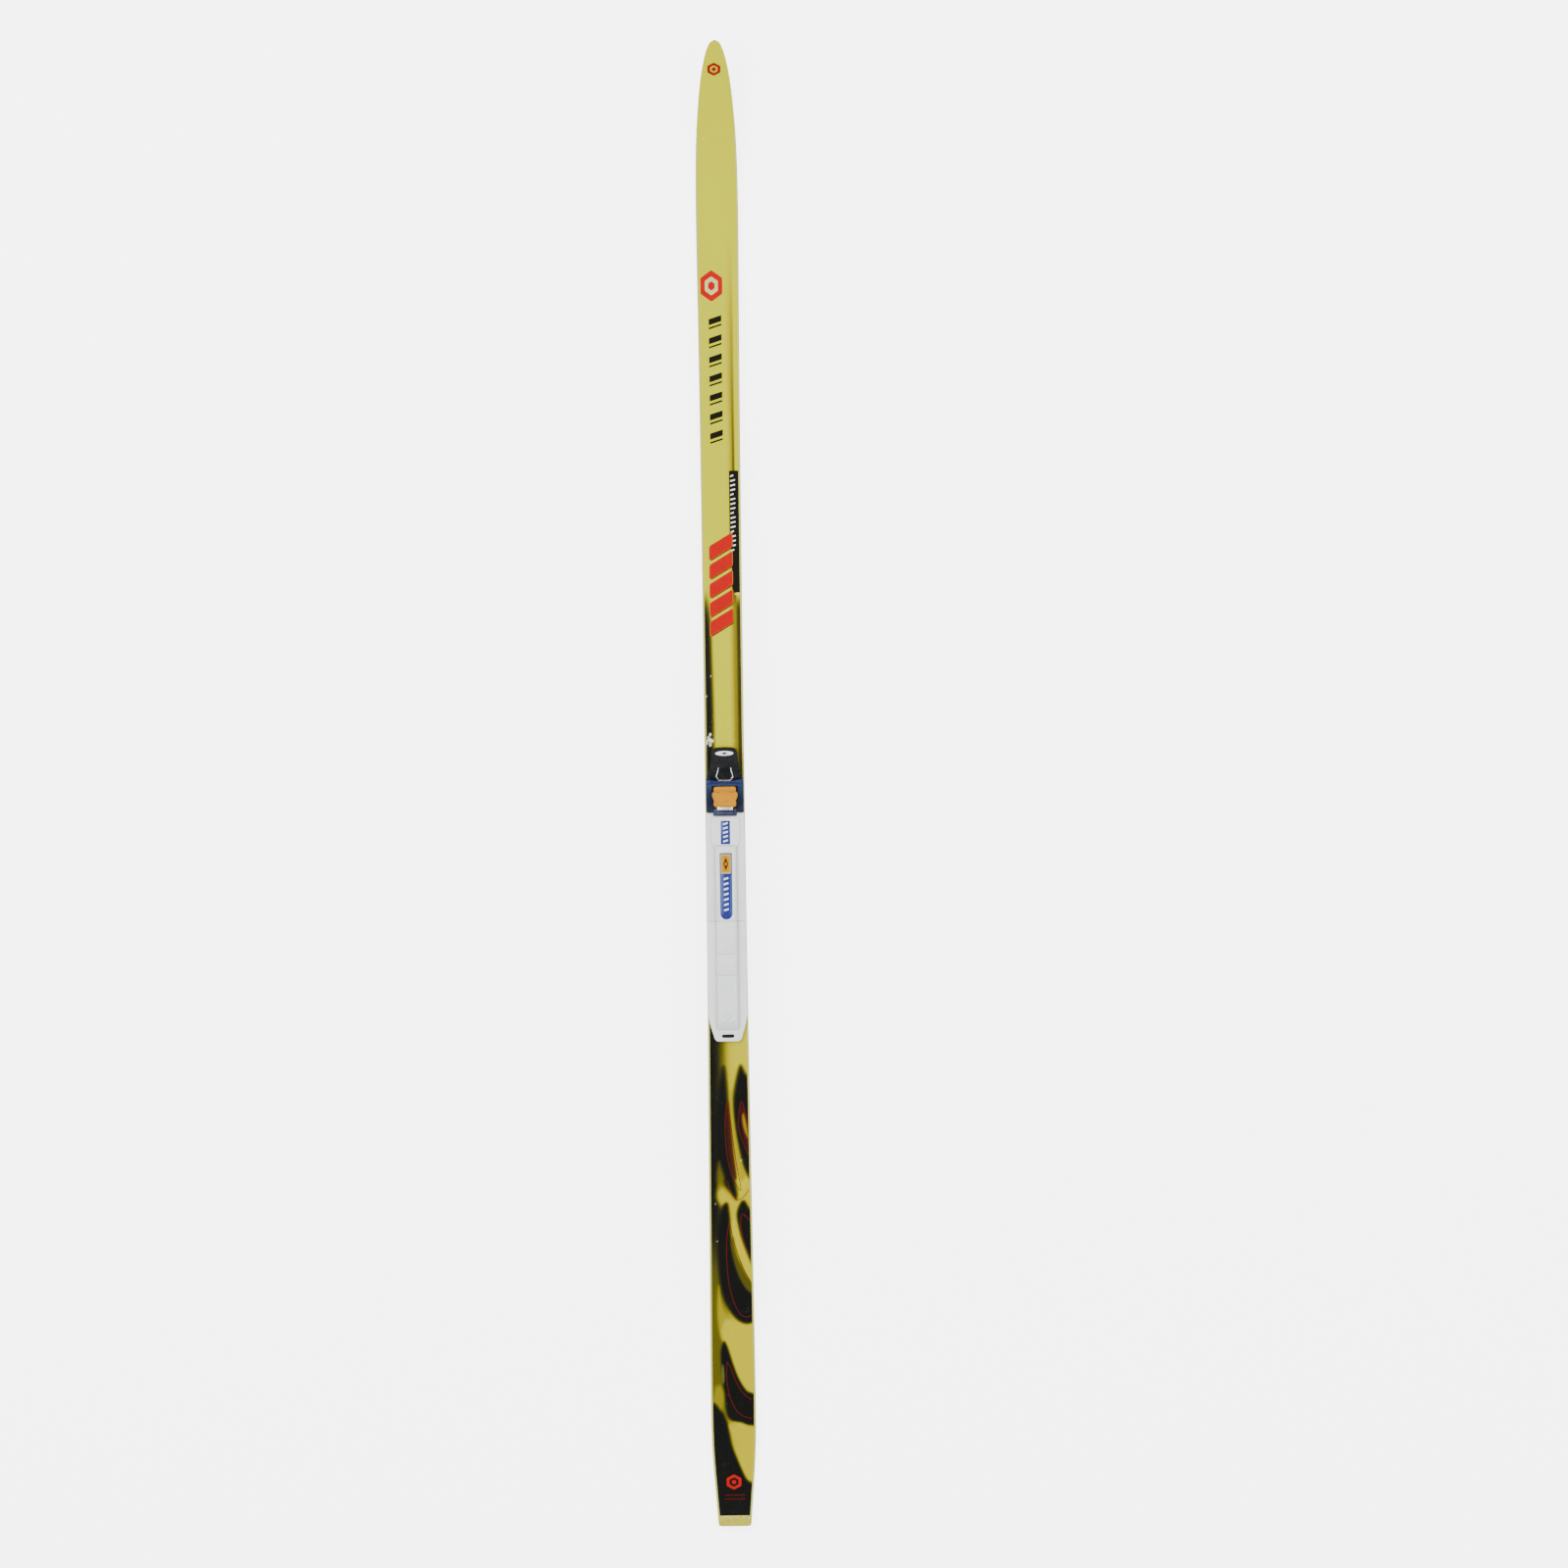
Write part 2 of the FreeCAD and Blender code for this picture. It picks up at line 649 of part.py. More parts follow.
# ears for the lever pin
on_sides(pad, part, 6.2, 9.4, [
    (dim.pin_y - 3.0, dim.floor_high - sink), (dim.pin_y + 2.8, dim.floor_high - sink),
    (dim.pin_y + 2.0, dim.pin_z + 1.0), (dim.pin_y + 0.8, dim.pin_z + 2.1),
    (dim.pin_y - 1.4, dim.pin_z + 2.3), (dim.pin_y - 2.6, dim.pin_z + 1.2),
])
pocket(part, side_view((dim.pin_y, dim.pin_z, dim.pin_rad + 0.01)), 40.0)
# channel for the lower half of the spring, with the post it pushes against
pocket(part, plan(1.6, oblong(spring_room, -18.5, 2.4)), 3.4)
pad(part, plan(1.5, oblong(2.5, 0.0, 2.3)), 5.4)
for x, y, _ in HOUSING_SCREWS:
    pocket(part, plan(-1, (x, y, dim.drill_rad)), 8.0)

# ------------------------------------------------------------------ housing
part = body("housing")
pad(part, side_view([
    (dim.wing_front, house_low), (dim.wing_front, dim.house_top - 2.2),
    (dim.wing_front - 1.0, dim.house_top - 1.0), (dim.wing_front - 3.0, dim.house_top),
    (-2.6, dim.house_top), (-5.5, dim.house_top - 0.8), (-21.0, 7.2), (-24.0, 6.0),
    (dim.house_rear, 5.5), (dim.house_rear, house_low),
]), dim.bind_half * 2)
# the front edge curves in to follow the lever's rear edge
pocket(part, plan(0, mirrored([
    (0, dim.house_front), (5.0, dim.house_front + 0.15), (9.0, dim.house_front + 0.45),
    (12.6, dim.house_front + 0.85), (14.6, dim.house_front + 1.9),
    (17.0, dim.wing_front - 0.9), (19.5, dim.wing_front - 0.3),
    (dim.bind_half + 1, dim.wing_front), (dim.bind_half + 1, dim.wing_front + 5),
    (0, dim.wing_front + 5),
])), 30.0)
# flexor pocket above the deck, and the opening behind the deck
past_rear = dim.house_rear - 5
pocket(part, plan(dim.deck_high, oblong(dim.pocket_half, -2.0, past_rear)), 20.0)
pocket(part, plan(0, oblong(13.3, dim.deck_rear, past_rear)), 30.0)
# clear the rails of the base, the slide and the spring from below
for half, high in ((Size.of(cavity_half), 4.85), (slide_room, 4.9)):
    pocket(part, plan(0, oblong(half, dim.deck_rear - 1, dim.house_front + 3)), high)
pocket(part, plan(0, oblong(spring_room, -19.5, 2.6)), 7.15)
for x, y, _ in HOUSING_SCREWS[1:]:
    pocket(part, plan(0, (x, y, dim.drill_rad)), 9.0)
# raised discs on the wings
for side in (1, -1):
    pad(part, plan(dim.house_top - 2.5, (side * 17.4, dim.wing_front - 4.4, 1.9)), 3.3)
round_edges(part, upright(x_from=20.5, y_to=-30), 2.4)
round_edges(part, upright(x_from=20.9, y_from=6.5), 0.9)

# ------------------------------------------------------------------ release lever
# half plan of the lever, from the middle of its front edge round to the middle of its rear edge
LEVER_PLAN = [
    (0, dim.lever_front), (7.0, dim.lever_front - 0.2), (11.5, dim.lever_front - 1.2),
    (13.8, dim.lever_front - 3.2), (14.8, dim.lever_front - 6.5),
    (15.1, 31.5), (15.5, 27.0), (16.2, 22.0), (17.1, 18.0), (18.3, 14.5), (19.6, 11.0),
    (20.6, 8.5), (17.5, 7.7), (15.0, 7.0), (12.4, 6.15), (9.0, 5.5), (5.0, 4.9),
    (0, dim.lever_rear),
]
# what is cut away above the lever's domed top, in y and height
LEVER_DOME = [
    (dim.lever_front + 1, 1.6), (dim.lever_front - 0.4, 4.4), (dim.lever_front - 1.4, 6.4),
    (dim.lever_front - 3.0, 8.1), (35.6, 9.8), (31.0, 11.7), (27.0, 13.1), (22.5, 14.3),
    (17.0, 15.2), (12.0, dim.lever_top), (dim.lever_rear + 3.0, dim.lever_top),
    (dim.lever_rear + 0.9, dim.lever_top - 0.3), (dim.lever_rear - 1, dim.lever_top - 1.8),
    (dim.lever_rear - 1, 30), (dim.lever_front + 1, 30),
]
lever = body("release_lever")
pad(lever, plan(0.4, mirrored(LEVER_PLAN)), dim.lever_top)
pocket(lever, side_view(LEVER_DOME), 80.0)
# the skirt's lower edge rises to the rear, so that it clears the base when pressed
pocket(lever, side_view([
    (39.4, -1), (39.4, 3.25), (33.0, 3.4), (dim.lever_rear - 2, 8.1), (dim.lever_rear - 2, -1),
]), 80.0)
# hollow underside: front, both sides of the recess, rear edge, then the whole lower part
pocket(lever, side_view([
    (39.6, -1), (39.6, 6.2), (38.2, 6.9), (30.6, 9.9), (25.2, 11.9), (25.2, -1),
]), 24.2)
on_sides(pocket, lever, 8.3, 13.7, [
    (25.4, -1), (25.4, 11.8), (17.9, 13.4),
    (dim.lever_rear + 3.8, dim.lever_top - dim.lever_wall), (dim.lever_rear + 3.8, -1),
])
pocket(lever, side_view(rectangle(dim.lever_rear - 2, dim.lever_rear + 5, -1, 9.8)), 24.8)
pocket(lever, plan(-1, mirrored([
    (0, 25.6), (12.1, 25.6), (13.6, 19.0), (15.2, 14.0), (16.6, 11.0), (16.9, 10.0),
    (13.0, 8.8), (8.0, 7.6), (0, 7.0),
])), 11.9)
# recess for a pole tip
pocket(lever, plan(13.0, mirrored([
    (0, 17.6), (6.0, 17.6), (7.8, 8.8), (7.9, dim.lever_rear - 1), (0, dim.lever_rear - 1),
])), 10.0)
# cams: a web with a round lower edge
cam_web = rectangle(
    dim.cam_y - dim.cam_rad, dim.cam_y + dim.cam_rad, dim.cam_z, dim.lever_top - 1.0
)
cam_round = (dim.cam_y, dim.cam_z, dim.cam_rad)
on_sides(pad, lever, dim.ramp_in + 0.5, dim.ramp_out - 0.3, cam_web, cam_round)
pocket(lever, side_view((dim.pin_y, dim.pin_z, dim.pin_rad + dim.pin_fit)), 60.0)

# ------------------------------------------------------------------ lever pin
pin_long = 28.4
pin = doc.addObject("Part::Cylinder", "Cyl_lever_pin")
pin.Label = "lever_pin"
pin.setExpression("Radius", "Params.pin_rad")
pin.Height = pin_long
pin.Placement = FreeCAD.Placement(
    Vector(-pin_long / 2, mm["pin_y"], mm["flat_top"] + mm["pin_z"]),
    FreeCAD.Rotation(Y_AXIS, 90),
)
pin.setExpression("Placement.Base.y", "Params.pin_y")
pin.setExpression("Placement.Base.z", "Params.flat_top + Params.pin_z")
PARTS.append(pin)

# ------------------------------------------------------------------ jaw slide
ramp_rear, ramp_front, ramp_high = 4.19, 10.9, 10.1
jaw_front = dim.bar_y + 5.0
bar_front = dim.bar_y + dim.bar_seat_rad
bar_hollow = (dim.bar_y, dim.bar_z, dim.bar_seat_rad)
part = body("jaw_slide")
pad(part, plan(dim.slide_low, mirrored([
    (0, ramp_front), (dim.ramp_out, ramp_front), (dim.ramp_out, ramp_rear),
    (dim.slide_half, ramp_rear), (dim.slide_half, jaw_front), (dim.jaw_half, jaw_front),
    (dim.jaw_half, bar_front), (0, bar_front),
])), dim.slide_high - dim.slide_low)
# spring slot
pocket(part, plan(0, oblong(spring_room, dim.spring_rear, 3.2)), 20.0)
# ramps under the lever's cams
on_sides(pad, part, dim.ramp_in, dim.ramp_out, [
    (ramp_rear, dim.slide_high), (9.69, ramp_high), (ramp_front, ramp_high),
    (ramp_front, dim.slide_low + 0.2), (ramp_rear, dim.slide_low + 0.2),
])
# jaw over the front of the toe bar
pad(part, side_view([
    (jaw_front, dim.slide_low), (jaw_front, dim.bar_z + 2.2),
    (dim.bar_y + 3.8, dim.bar_z + 3.5), (dim.bar_y + 1.0, dim.bar_z + 3.5),
    (dim.bar_y + 0.1, dim.bar_z + 2.8), (dim.bar_y + 0.1, dim.bar_z),
    (bar_front, dim.bar_z), (bar_front, dim.slide_low),
]), dim.jaw_half * 2)
pocket(part, side_view(bar_hollow), 60.0)

# ------------------------------------------------------------------ bar seat
seat_front, seat_rear = dim.bar_y + 1.8, dim.bar_y - 5.2
part = body("bar_seat")
pad(part, side_view([
    (seat_front, house_low), (seat_front, 7.3), (dim.bar_y - 2.2, dim.bar_z + 0.1),
    (dim.bar_y - 3.4, dim.bar_z + 0.1), (seat_rear, 6.2), (seat_rear, house_low),
]), dim.jaw_half * 2)
pocket(part, side_view(bar_hollow), 60.0)
# lower shoulders
on_sides(pad, part, dim.jaw_half - sink, cavity_half, [
    (seat_front, house_low), (seat_front, 5.0), (dim.bar_y - 3.4, 5.6),
    (seat_rear, 5.0), (seat_rear, house_low),
])
# ribs on the rear face: x of the middle, height, height at the rear
RIB_WIDE = 2.2
for x, high, rear_high in ((-10.6, 6.2, 5.6), (-3.3, 8.9, 6.6), (3.3, 8.9, 6.6), (10.6, 6.2, 5.6)):
    rib = [
        (dim.bar_y - 2.8, 4.5), (dim.bar_y - 2.8, high), (dim.bar_y - 3.6, high),
        (dim.bar_y - 5.7, rear_high), (dim.bar_y - 5.7, 4.5),
    ]
    pad(part, side_view(rib, start=x - RIB_WIDE / 2), RIB_WIDE)
round_edges(part, upright(x_from=12.0, y_to=-35.0), 1.2)

# ------------------------------------------------------------------ flexor
flexor_low = dim.deck_high + play
part = body("flexor")
pad(part, side_view([
    (-2.9, flexor_low), (-2.9, 13.6), (-3.6, 14.8), (-7.2, 15.2), (-8.7, 14.3),
    (-10.2, 15.0), (-19.0, 15.6), (-24.6, 15.2), (-26.2, 14.2), (-26.0, 12.3),
    (-20.7, 12.3), (-20.7, flexor_low),
]), dim.flexor_half * 2)
# bulges at the sides
pad(part, plan(flexor_low, mirrored([
    (0, -8.7), (14.0, -8.7), (14.6, -10.5), (14.6, -15.5), (14.0, -17.3), (0, -17.3),
])), 5.6)
# room for the screw heads
for x in (-DECK_SCREW_X, DECK_SCREW_X):
    pocket(part, plan(0, (x, DECK_SCREW_Y, dim.head_rad + 0.3)), dim.deck_high + 3.1)

# ------------------------------------------------------------------ shared plate shapes
HOLLOW_HALF = 8.4  # hollows under the ridge
LABEL_REAR = -147.3  # centre of the ridge label's round rear end
INSERT_X, INSERT_Y = 5.2, -287.0  # centres of the heel insert's round ends
# the right half of the ridge's chamfered top
ridge_crown = [
    (dim.ridge_top_half + 0.7, dim.ridge_high - 1.2),
    (dim.ridge_top_half - 0.4, dim.ridge_high), (0, dim.ridge_high),
]


def ridge(part, front, rear):
    """The tapered guide ridge on an already padded plate."""
    pad(part, end_view(front, mirrored([
        (0, 1.0), (dim.ridge_low_half, 1.0), (dim.ridge_low_half, dim.plate_high),
    ] + ridge_crown)), front - rear)


def screw_room(part, screws):
    """Counterbores and drilled holes."""
    for x, y, z in screws:
        pocket(part, plan(z, (x, y, dim.head_rad + 0.2)), 10.0)
        pocket(part, plan(-1, (x, y, dim.drill_rad)), 12.0)


def label_loops(half, front):
    """The ridge label: a strip, and the circle that rounds its rear end."""
    return [oblong(half, LABEL_REAR, front), (0, LABEL_REAR, half)]


def insert_loops(half):
    """The heel insert: a strip across the ski, and the circles that round its ends."""
    strip = oblong(INSERT_X, INSERT_Y - half, INSERT_Y + half)
    return [strip, (INSERT_X, INSERT_Y, half), (-INSERT_X, INSERT_Y, half)]


# ------------------------------------------------------------------ guide plate
part = body("guide_plate")
pad(part, plan(play, mirrored([
    (0, -36.1), (13.3, -36.1), (13.3, dim.guide_front), (dim.plate_half - 0.5, dim.guide_front),
    (dim.plate_half - 0.1, -100.0), (dim.plate_half + 0.1, dim.guide_rear),
    (0, dim.guide_rear),
])), dim.plate_high - play)
ridge(part, dim.ridge_front, dim.guide_rear)
# raised front area with the label seat
pad(part, plan(dim.plate_high - sink, mirrored([
    (0, -37.2), (15.4, -37.2), (16.2, -38.2), (16.2, -66.0), (13.6, dim.ridge_front + 1.0),
    (13.6, dim.ridge_front - 1.0), (0, dim.ridge_front - 1.0),
])), 1.2)
pocket(part, plan(dim.plate_high + 0.6, oblong(5.3, -68.6, -41.8)), 4.0)
for loop in label_loops(6.9, -78.6):
    pocket(part, plan(dim.ridge_high - 1.2, loop), 4.0)
screw_room(part, GUIDE_SCREWS)
pocket(part, plan(-1, oblong(HOLLOW_HALF, -132.0, -100.0)), 9.0)
round_edges(part, rest_edge(20.5, 5), 1.0)

# ------------------------------------------------------------------ heel plate
part = body("heel_plate")
pad(part, plan(play, mirrored([
    (0, dim.heel_front), (dim.plate_half + 0.1, dim.heel_front),
    (dim.plate_half + 0.2, -262.0), (21.4, -268.5), (19.6, -276.0), (17.2, -284.0),
    (15.4, -290.0), (13.4, dim.heel_rear + 0.6), (11.0, dim.heel_rear), (0, dim.heel_rear),
])), dim.plate_high - play)
ridge(part, dim.heel_front, -279.0)
# the ridge slopes down at its rear end
pocket(part, side_view([
    (-270.0, dim.ridge_high + 1), (-270.0, dim.ridge_high), (-280.0, dim.plate_high + 0.4),
    (-281.0, dim.plate_high + 0.4), (-281.0, dim.ridge_high + 1),
]), 60.0)
# slot for the rear insert
for loop in insert_loops(2.0):
    pocket(part, plan(2.0, loop), 20.0)
# seat of the screw cover
cover_seat = oblong(30.0, dim.cover_rear, dim.cover_front)
pocket(part, plan(dim.ridge_high - 1.6, cover_seat), 10.0)
screw_room(part, HEEL_SCREWS)
for y0, y1 in ((-190.0, -162.0), (-268.0, -222.0)):
    pocket(part, plan(-1, oblong(HOLLOW_HALF, y0, y1)), 9.6)
# ring groove near the rear end
pocket(part, plan(dim.ridge_high - 0.35, (0, -264.4, 4.0), (0, -264.4, 3.2)), 3.0)
round_edges(part, rest_edge(14.0, 1), 1.0)

# ------------------------------------------------------------------ heel screw cover
# follows the ridge's chamfered top
cover_room = 0.15  # at each end
part = body("heel_screw_cover")
cover_low = dim.ridge_high - 1.55
pad(part, end_view(dim.cover_front - cover_room, mirrored(
    [(0, cover_low), (dim.ridge_top_half + 0.75, cover_low)] + ridge_crown
)), dim.cover_front - dim.cover_rear - 2 * cover_room)

# ------------------------------------------------------------------ labels
LABEL_WIDE, LABEL_LONG, LABEL_THICK = 10.3, 26.2, 0.55
LABEL_LIFT = 0.62  # above the boot rest
box = doc.addObject("Part::Box", "Box_front_label")
box.Label = "front_label"
box.Length, box.Width, box.Height = LABEL_WIDE, LABEL_LONG, LABEL_THICK
box.Placement = FreeCAD.Placement(
    Vector(-LABEL_WIDE / 2, -68.3, mm["flat_top"] + mm["plate_high"] + LABEL_LIFT),
    FreeCAD.Rotation(),
)
box.setExpression("Placement.Base.z", f"Params.flat_top + Params.plate_high + {LABEL_LIFT}")
PARTS.append(box)

part = body("ridge_label")
for loop in label_loops(6.6, -78.9):
    pad(part, plan(dim.ridge_high - 1.17, loop), 1.3)

# ------------------------------------------------------------------ heel insert
part = body("heel_insert")
for loop in insert_loops(1.8):
    pad(part, plan(2.0 + play, loop), 1.85)
for side in (1, -1):
    pocket(part, plan(3.0, (side * 3.0, INSERT_Y, 0.9)), 4.0)

# ------------------------------------------------------------------ screws
THREAD_PITCH, THREAD_DEEP = 2.2, 0.7
ROOT_START, ROOT_END = 0.8, 1.4  # where a thread's root lies below its crest
HEAD_CHAMFER = 1.2
CROSS_LONG, CROSS_WIDE, CROSS_DEEP = 4.4, 1.0, 1.4


def screw(x, y, seat):
    """A pan head with a cross recess over a shank with thread rings and a point."""
    under = mm["flat_top"] + seat + 0.02
    top = mm["flat_top"] + seat + mm["head_high"]
    crest, head = mm["screw_rad"], mm["head_rad"]
    root = crest - THREAD_DEEP
    tip = mm["flat_top"] - mm["screw_deep"]
    z = mm["flat_top"] - 1.0
    profile = [
        (0, top), (head - HEAD_CHAMFER, top), (head, top - HEAD_CHAMFER),
        (head, under), (crest, under), (crest, z),
    ]
    while z - THREAD_PITCH > tip + 2.5:
        profile += [(root, z - ROOT_START), (root, z - ROOT_END), (crest, z - THREAD_PITCH)]
        z -= THREAD_PITCH
    profile += [(root, z - ROOT_START), (0, tip)]
    points = [Vector(radius, 0, height) for radius, height in profile]
    wire = Part.makePolygon(points + [points[0]])
    solid = Part.Face(wire).revolve(ORIGIN, Z_AXIS, 360)
    for angle in (45, 135):
        corner = Vector(-CROSS_LONG / 2, -CROSS_WIDE / 2, top - CROSS_DEEP)
        cross = Part.makeBox(CROSS_LONG, CROSS_WIDE, 2.0, corner)
        cross.rotate(ORIGIN, Z_AXIS, angle)
        solid = solid.cut(cross)
    solid.translate(Vector(x, y, 0))
    return solid


for name, places in (
    ("housing_screws", HOUSING_SCREWS),
    ("guide_plate_screws", GUIDE_SCREWS),
    ("heel_plate_screws", HEEL_SCREWS),
):
    feature(name, Part.makeCompound([screw(*place) for place in places]))

# ------------------------------------------------------------------ jaw spring
SPRING_TURNS = 8.0
spring_long = -mm["spring_rear"] - 2 * play
spring_pitch = spring_long / SPRING_TURNS
coil_rad, wire_rad = mm["spring_rad"], mm["spring_wire"]
helix = Part.makeHelix(spring_pitch, spring_long - 2 * wire_rad, coil_rad)
tangent = Vector(0, 2 * math.pi * coil_rad, spring_pitch).normalize()
wire_section = Part.Wire([Part.makeCircle(wire_rad, Vector(coil_rad, 0, 0), tangent)])
coil = Part.Wire(helix).makePipeShell([wire_section], True, True)
coil.translate(Vector(0, 0, wire_rad))
coil.rotate(ORIGIN, X_AXIS, -90)
coil.translate(Vector(0, mm["spring_rear"] + play, mm["flat_top"] + mm["spring_z"]))
feature("jaw_spring", coil)

# ------------------------------------------------------------------ wire arms on the lever
ARM_RAD = 0.6
# (distance from the middle, y, height above the ski's top):
# up out of the lever, back along the recess, and down again
ARM_PATH = [
    (7.0, 18.6, 12.6), (7.0, 18.4, 15.0), (7.6, 15.0, 15.5), (8.6, 11.6, 15.72),
    (9.3, 8.6, 15.74), (9.0, 7.2, 15.74), (7.2, 6.5, 15.5), (7.1, 6.5, 13.4),
]


def arms(radius):
    """The right and the left arm."""
    points = [Vector(-x, y, mm["flat_top"] + height) for x, y, height in ARM_PATH]
    pieces = [Part.makeSphere(radius * 1.03, p) for p in points[1:-1]]
    pieces += [
        Part.makeCylinder(radius, (end - start).Length, start, end - start)
        for start, end in zip(points, points[1:])
    ]
    left = pieces[0].multiFuse(pieces[1:])
    return [left.mirror(ORIGIN, X_AXIS), left]


feature("lever_wire", Part.makeCompound(arms(ARM_RAD)))

# ------------------------------------------------------------------ badge on the lever's front
BADGE_HALF_WIDE, BADGE_HALF_LONG = 10.3, 2.9
BADGE_Y, BADGE_HIGH = 34.8, 9.9
BADGE_TILT = math.degrees(math.atan2(11.5 - 8.3, 38.6 - 31.0))
SEAT_ROOM = 0.06  # clearance of the badge's seat and of the wire's grooves


def badge(room, thick, lift):
    """An oval plate tilted to the lever's sloping front."""
    oval = Part.Ellipse(ORIGIN, BADGE_HALF_WIDE + room, BADGE_HALF_LONG + room).toShape()
    solid = Part.Face(Part.Wire([oval])).extrude(Vector(0, 0, thick))
    solid.translate(Vector(0, 0, lift))
    solid.rotate(ORIGIN, X_AXIS, -BADGE_TILT)
    solid.translate(Vector(0, BADGE_Y, mm["flat_top"] + BADGE_HIGH))
    return solid


feature("lever_badge", badge(room=0.0, thick=0.6, lift=-0.38))

# ------------------------------------------------------------------ finished lever
# the wire's grooves and the badge's seat are cut from the lever's body
right_groove, left_groove = arms(ARM_RAD + SEAT_ROOM)
tools = doc.addObject("Part::Feature", "Lever_tools")
tools.Label = "lever_tools"
tools.Shape = right_groove.fuse(left_groove).fuse(badge(SEAT_ROOM, thick=3.0, lift=-0.42))
cut = doc.addObject("Part::Cut", "Cut_release_lever")
cut.Base = lever
cut.Tool = tools
PARTS.remove(lever)
lever.Label = "release_lever_blank"
cut.Label = "release_lever"
PARTS.append(cut)

# ------------------------------------------------------------------ check and write
doc.recompute()
for obj in doc.Objects:
    if any(word in state for state in obj.State for word in ("Invalid", "Error")):
        raise RuntimeError(f"{obj.Label} failed: {obj.State}")
os.makedirs("parts", exist_ok=True)
for piece in PARTS:
    shape = piece.Shape
    if shape.isNull() or not shape.isValid() or not shape.Solids:
        raise RuntimeError(piece.Label + " is not a valid solid")
    solids = shape.Solids
    out = solids[0] if len(solids) == 1 else Part.makeCompound(solids)
    out.exportStep(os.path.join("parts", piece.Label + ".step"))
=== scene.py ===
"""The looks of a cross country ski with a toe-bar binding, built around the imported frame.

The ski lies along y with its tip at +y, x is to the right seen from above and z is up. The base
touches z = 0 at two contact lines and arches between them. Sizes are in millimetres unless
noted, and become metres when a mesh is made.
"""
import math

import bmesh
import bpy
import numpy as np
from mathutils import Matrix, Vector

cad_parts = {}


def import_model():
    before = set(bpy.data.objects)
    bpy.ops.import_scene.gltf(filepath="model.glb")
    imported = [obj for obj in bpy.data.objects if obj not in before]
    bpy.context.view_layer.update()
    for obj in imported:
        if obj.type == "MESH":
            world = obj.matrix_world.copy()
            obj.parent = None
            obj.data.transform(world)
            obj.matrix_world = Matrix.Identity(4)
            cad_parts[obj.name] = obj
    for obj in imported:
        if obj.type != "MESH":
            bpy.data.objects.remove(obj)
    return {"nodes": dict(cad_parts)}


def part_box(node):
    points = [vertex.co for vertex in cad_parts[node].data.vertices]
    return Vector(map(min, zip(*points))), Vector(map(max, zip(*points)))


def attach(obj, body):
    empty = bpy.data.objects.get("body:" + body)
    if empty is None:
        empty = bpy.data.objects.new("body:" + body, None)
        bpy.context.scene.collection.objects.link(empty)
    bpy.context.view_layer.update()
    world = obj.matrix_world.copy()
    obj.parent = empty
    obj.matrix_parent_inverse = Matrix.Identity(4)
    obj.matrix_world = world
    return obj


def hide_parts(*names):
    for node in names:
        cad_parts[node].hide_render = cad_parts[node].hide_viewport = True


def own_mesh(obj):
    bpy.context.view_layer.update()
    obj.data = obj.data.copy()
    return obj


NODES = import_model()["nodes"]
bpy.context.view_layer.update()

MM = 0.001
SIDES = ((-1, "left"), (1, "right"))
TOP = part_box("binding_base")[0].z * 1000.0  # height of the ski's flat top
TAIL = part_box("tail_guard")[0].y * 1000.0
TIP = -TAIL
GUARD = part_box("tail_guard")[1].y * 1000.0  # front end of the tail guard

# base line
FRONT_CONTACT, REAR_CONTACT, CAMBER = 620.0, -790.0, 15.0
TIP_RISE, TAIL_RISE = 46.0, 4.0
TIP_BEND = TIP_RISE / (TIP - FRONT_CONTACT) ** 2
TAIL_BEND = TAIL_RISE / (TIP + REAR_CONTACT) ** 2

# top line
FLAT_REAR, FLAT_FRONT, FLAT_LEVEL = -300, 50, 41.0
OVERRUN = 6  # how far the top line's splines reach past tip and tail

# layers
GAP = 0.04  # clearance between neighbouring pieces
STRIP_WIDTH, STRIP_FRONT = 2.2, 745.0
WIDENS = (STRIP_FRONT + 0.04, STRIP_FRONT + 0.12)  # where the sheet widens to the full ski
SHEET_THICK, SHEET_RIM_DROP = 0.6, 0.10
LAMINATE_TOP, LAMINATE_UNDER, CORE_TOP = 0.74, 1.42, 1.46  # below the ski's top
BASE_THICK, LOWER_BOTTOM, LOWER_TOP, CORE_BOTTOM = 1.4, 1.44, 2.04, 2.08  # above the base line
WALL_REAR, WALL_FRONT, WALL_WIDTH = -740.0, 600.0, 5.0
TIP_ROUND = 790.0  # stations are packed closer from here to the tip

# stepped grip zone of the base
GRIP_REAR, GRIP_FRONT, GRIP_PITCH, GRIP_DEPTH = -190.0, 370.0, 10.0, 0.45


# ------------------------------------------------------------------ curves
def smoothstep(value, start, end):
    """Goes from 0 at start to 1 at end; end may be the smaller one."""
    part = np.clip((value - start) / (end - start), 0.0, 1.0)
    return part * part * (3 - 2 * part)


def smooth_curve(points, closed=False):
    """A Catmull-Rom curve through the points, eight steps between neighbours."""
    points = np.array(points, float)
    count = len(points)
    out = []
    for i in range(count if closed else count - 1):
        four = np.arange(i - 1, i + 3)
        four = four % count if closed else np.clip(four, 0, count - 1)
        before, start, end, after = points[four]
        for k in range(8):
            part = k / 8
            out.append(0.5 * (
                2 * start + (end - before) * part
                + (2 * before - 5 * start + 4 * end - after) * part * part
                + (3 * start - before - 3 * end + after) * part ** 3
            ))
    if not closed:
        out.append(points[-1])
    return np.array(out)


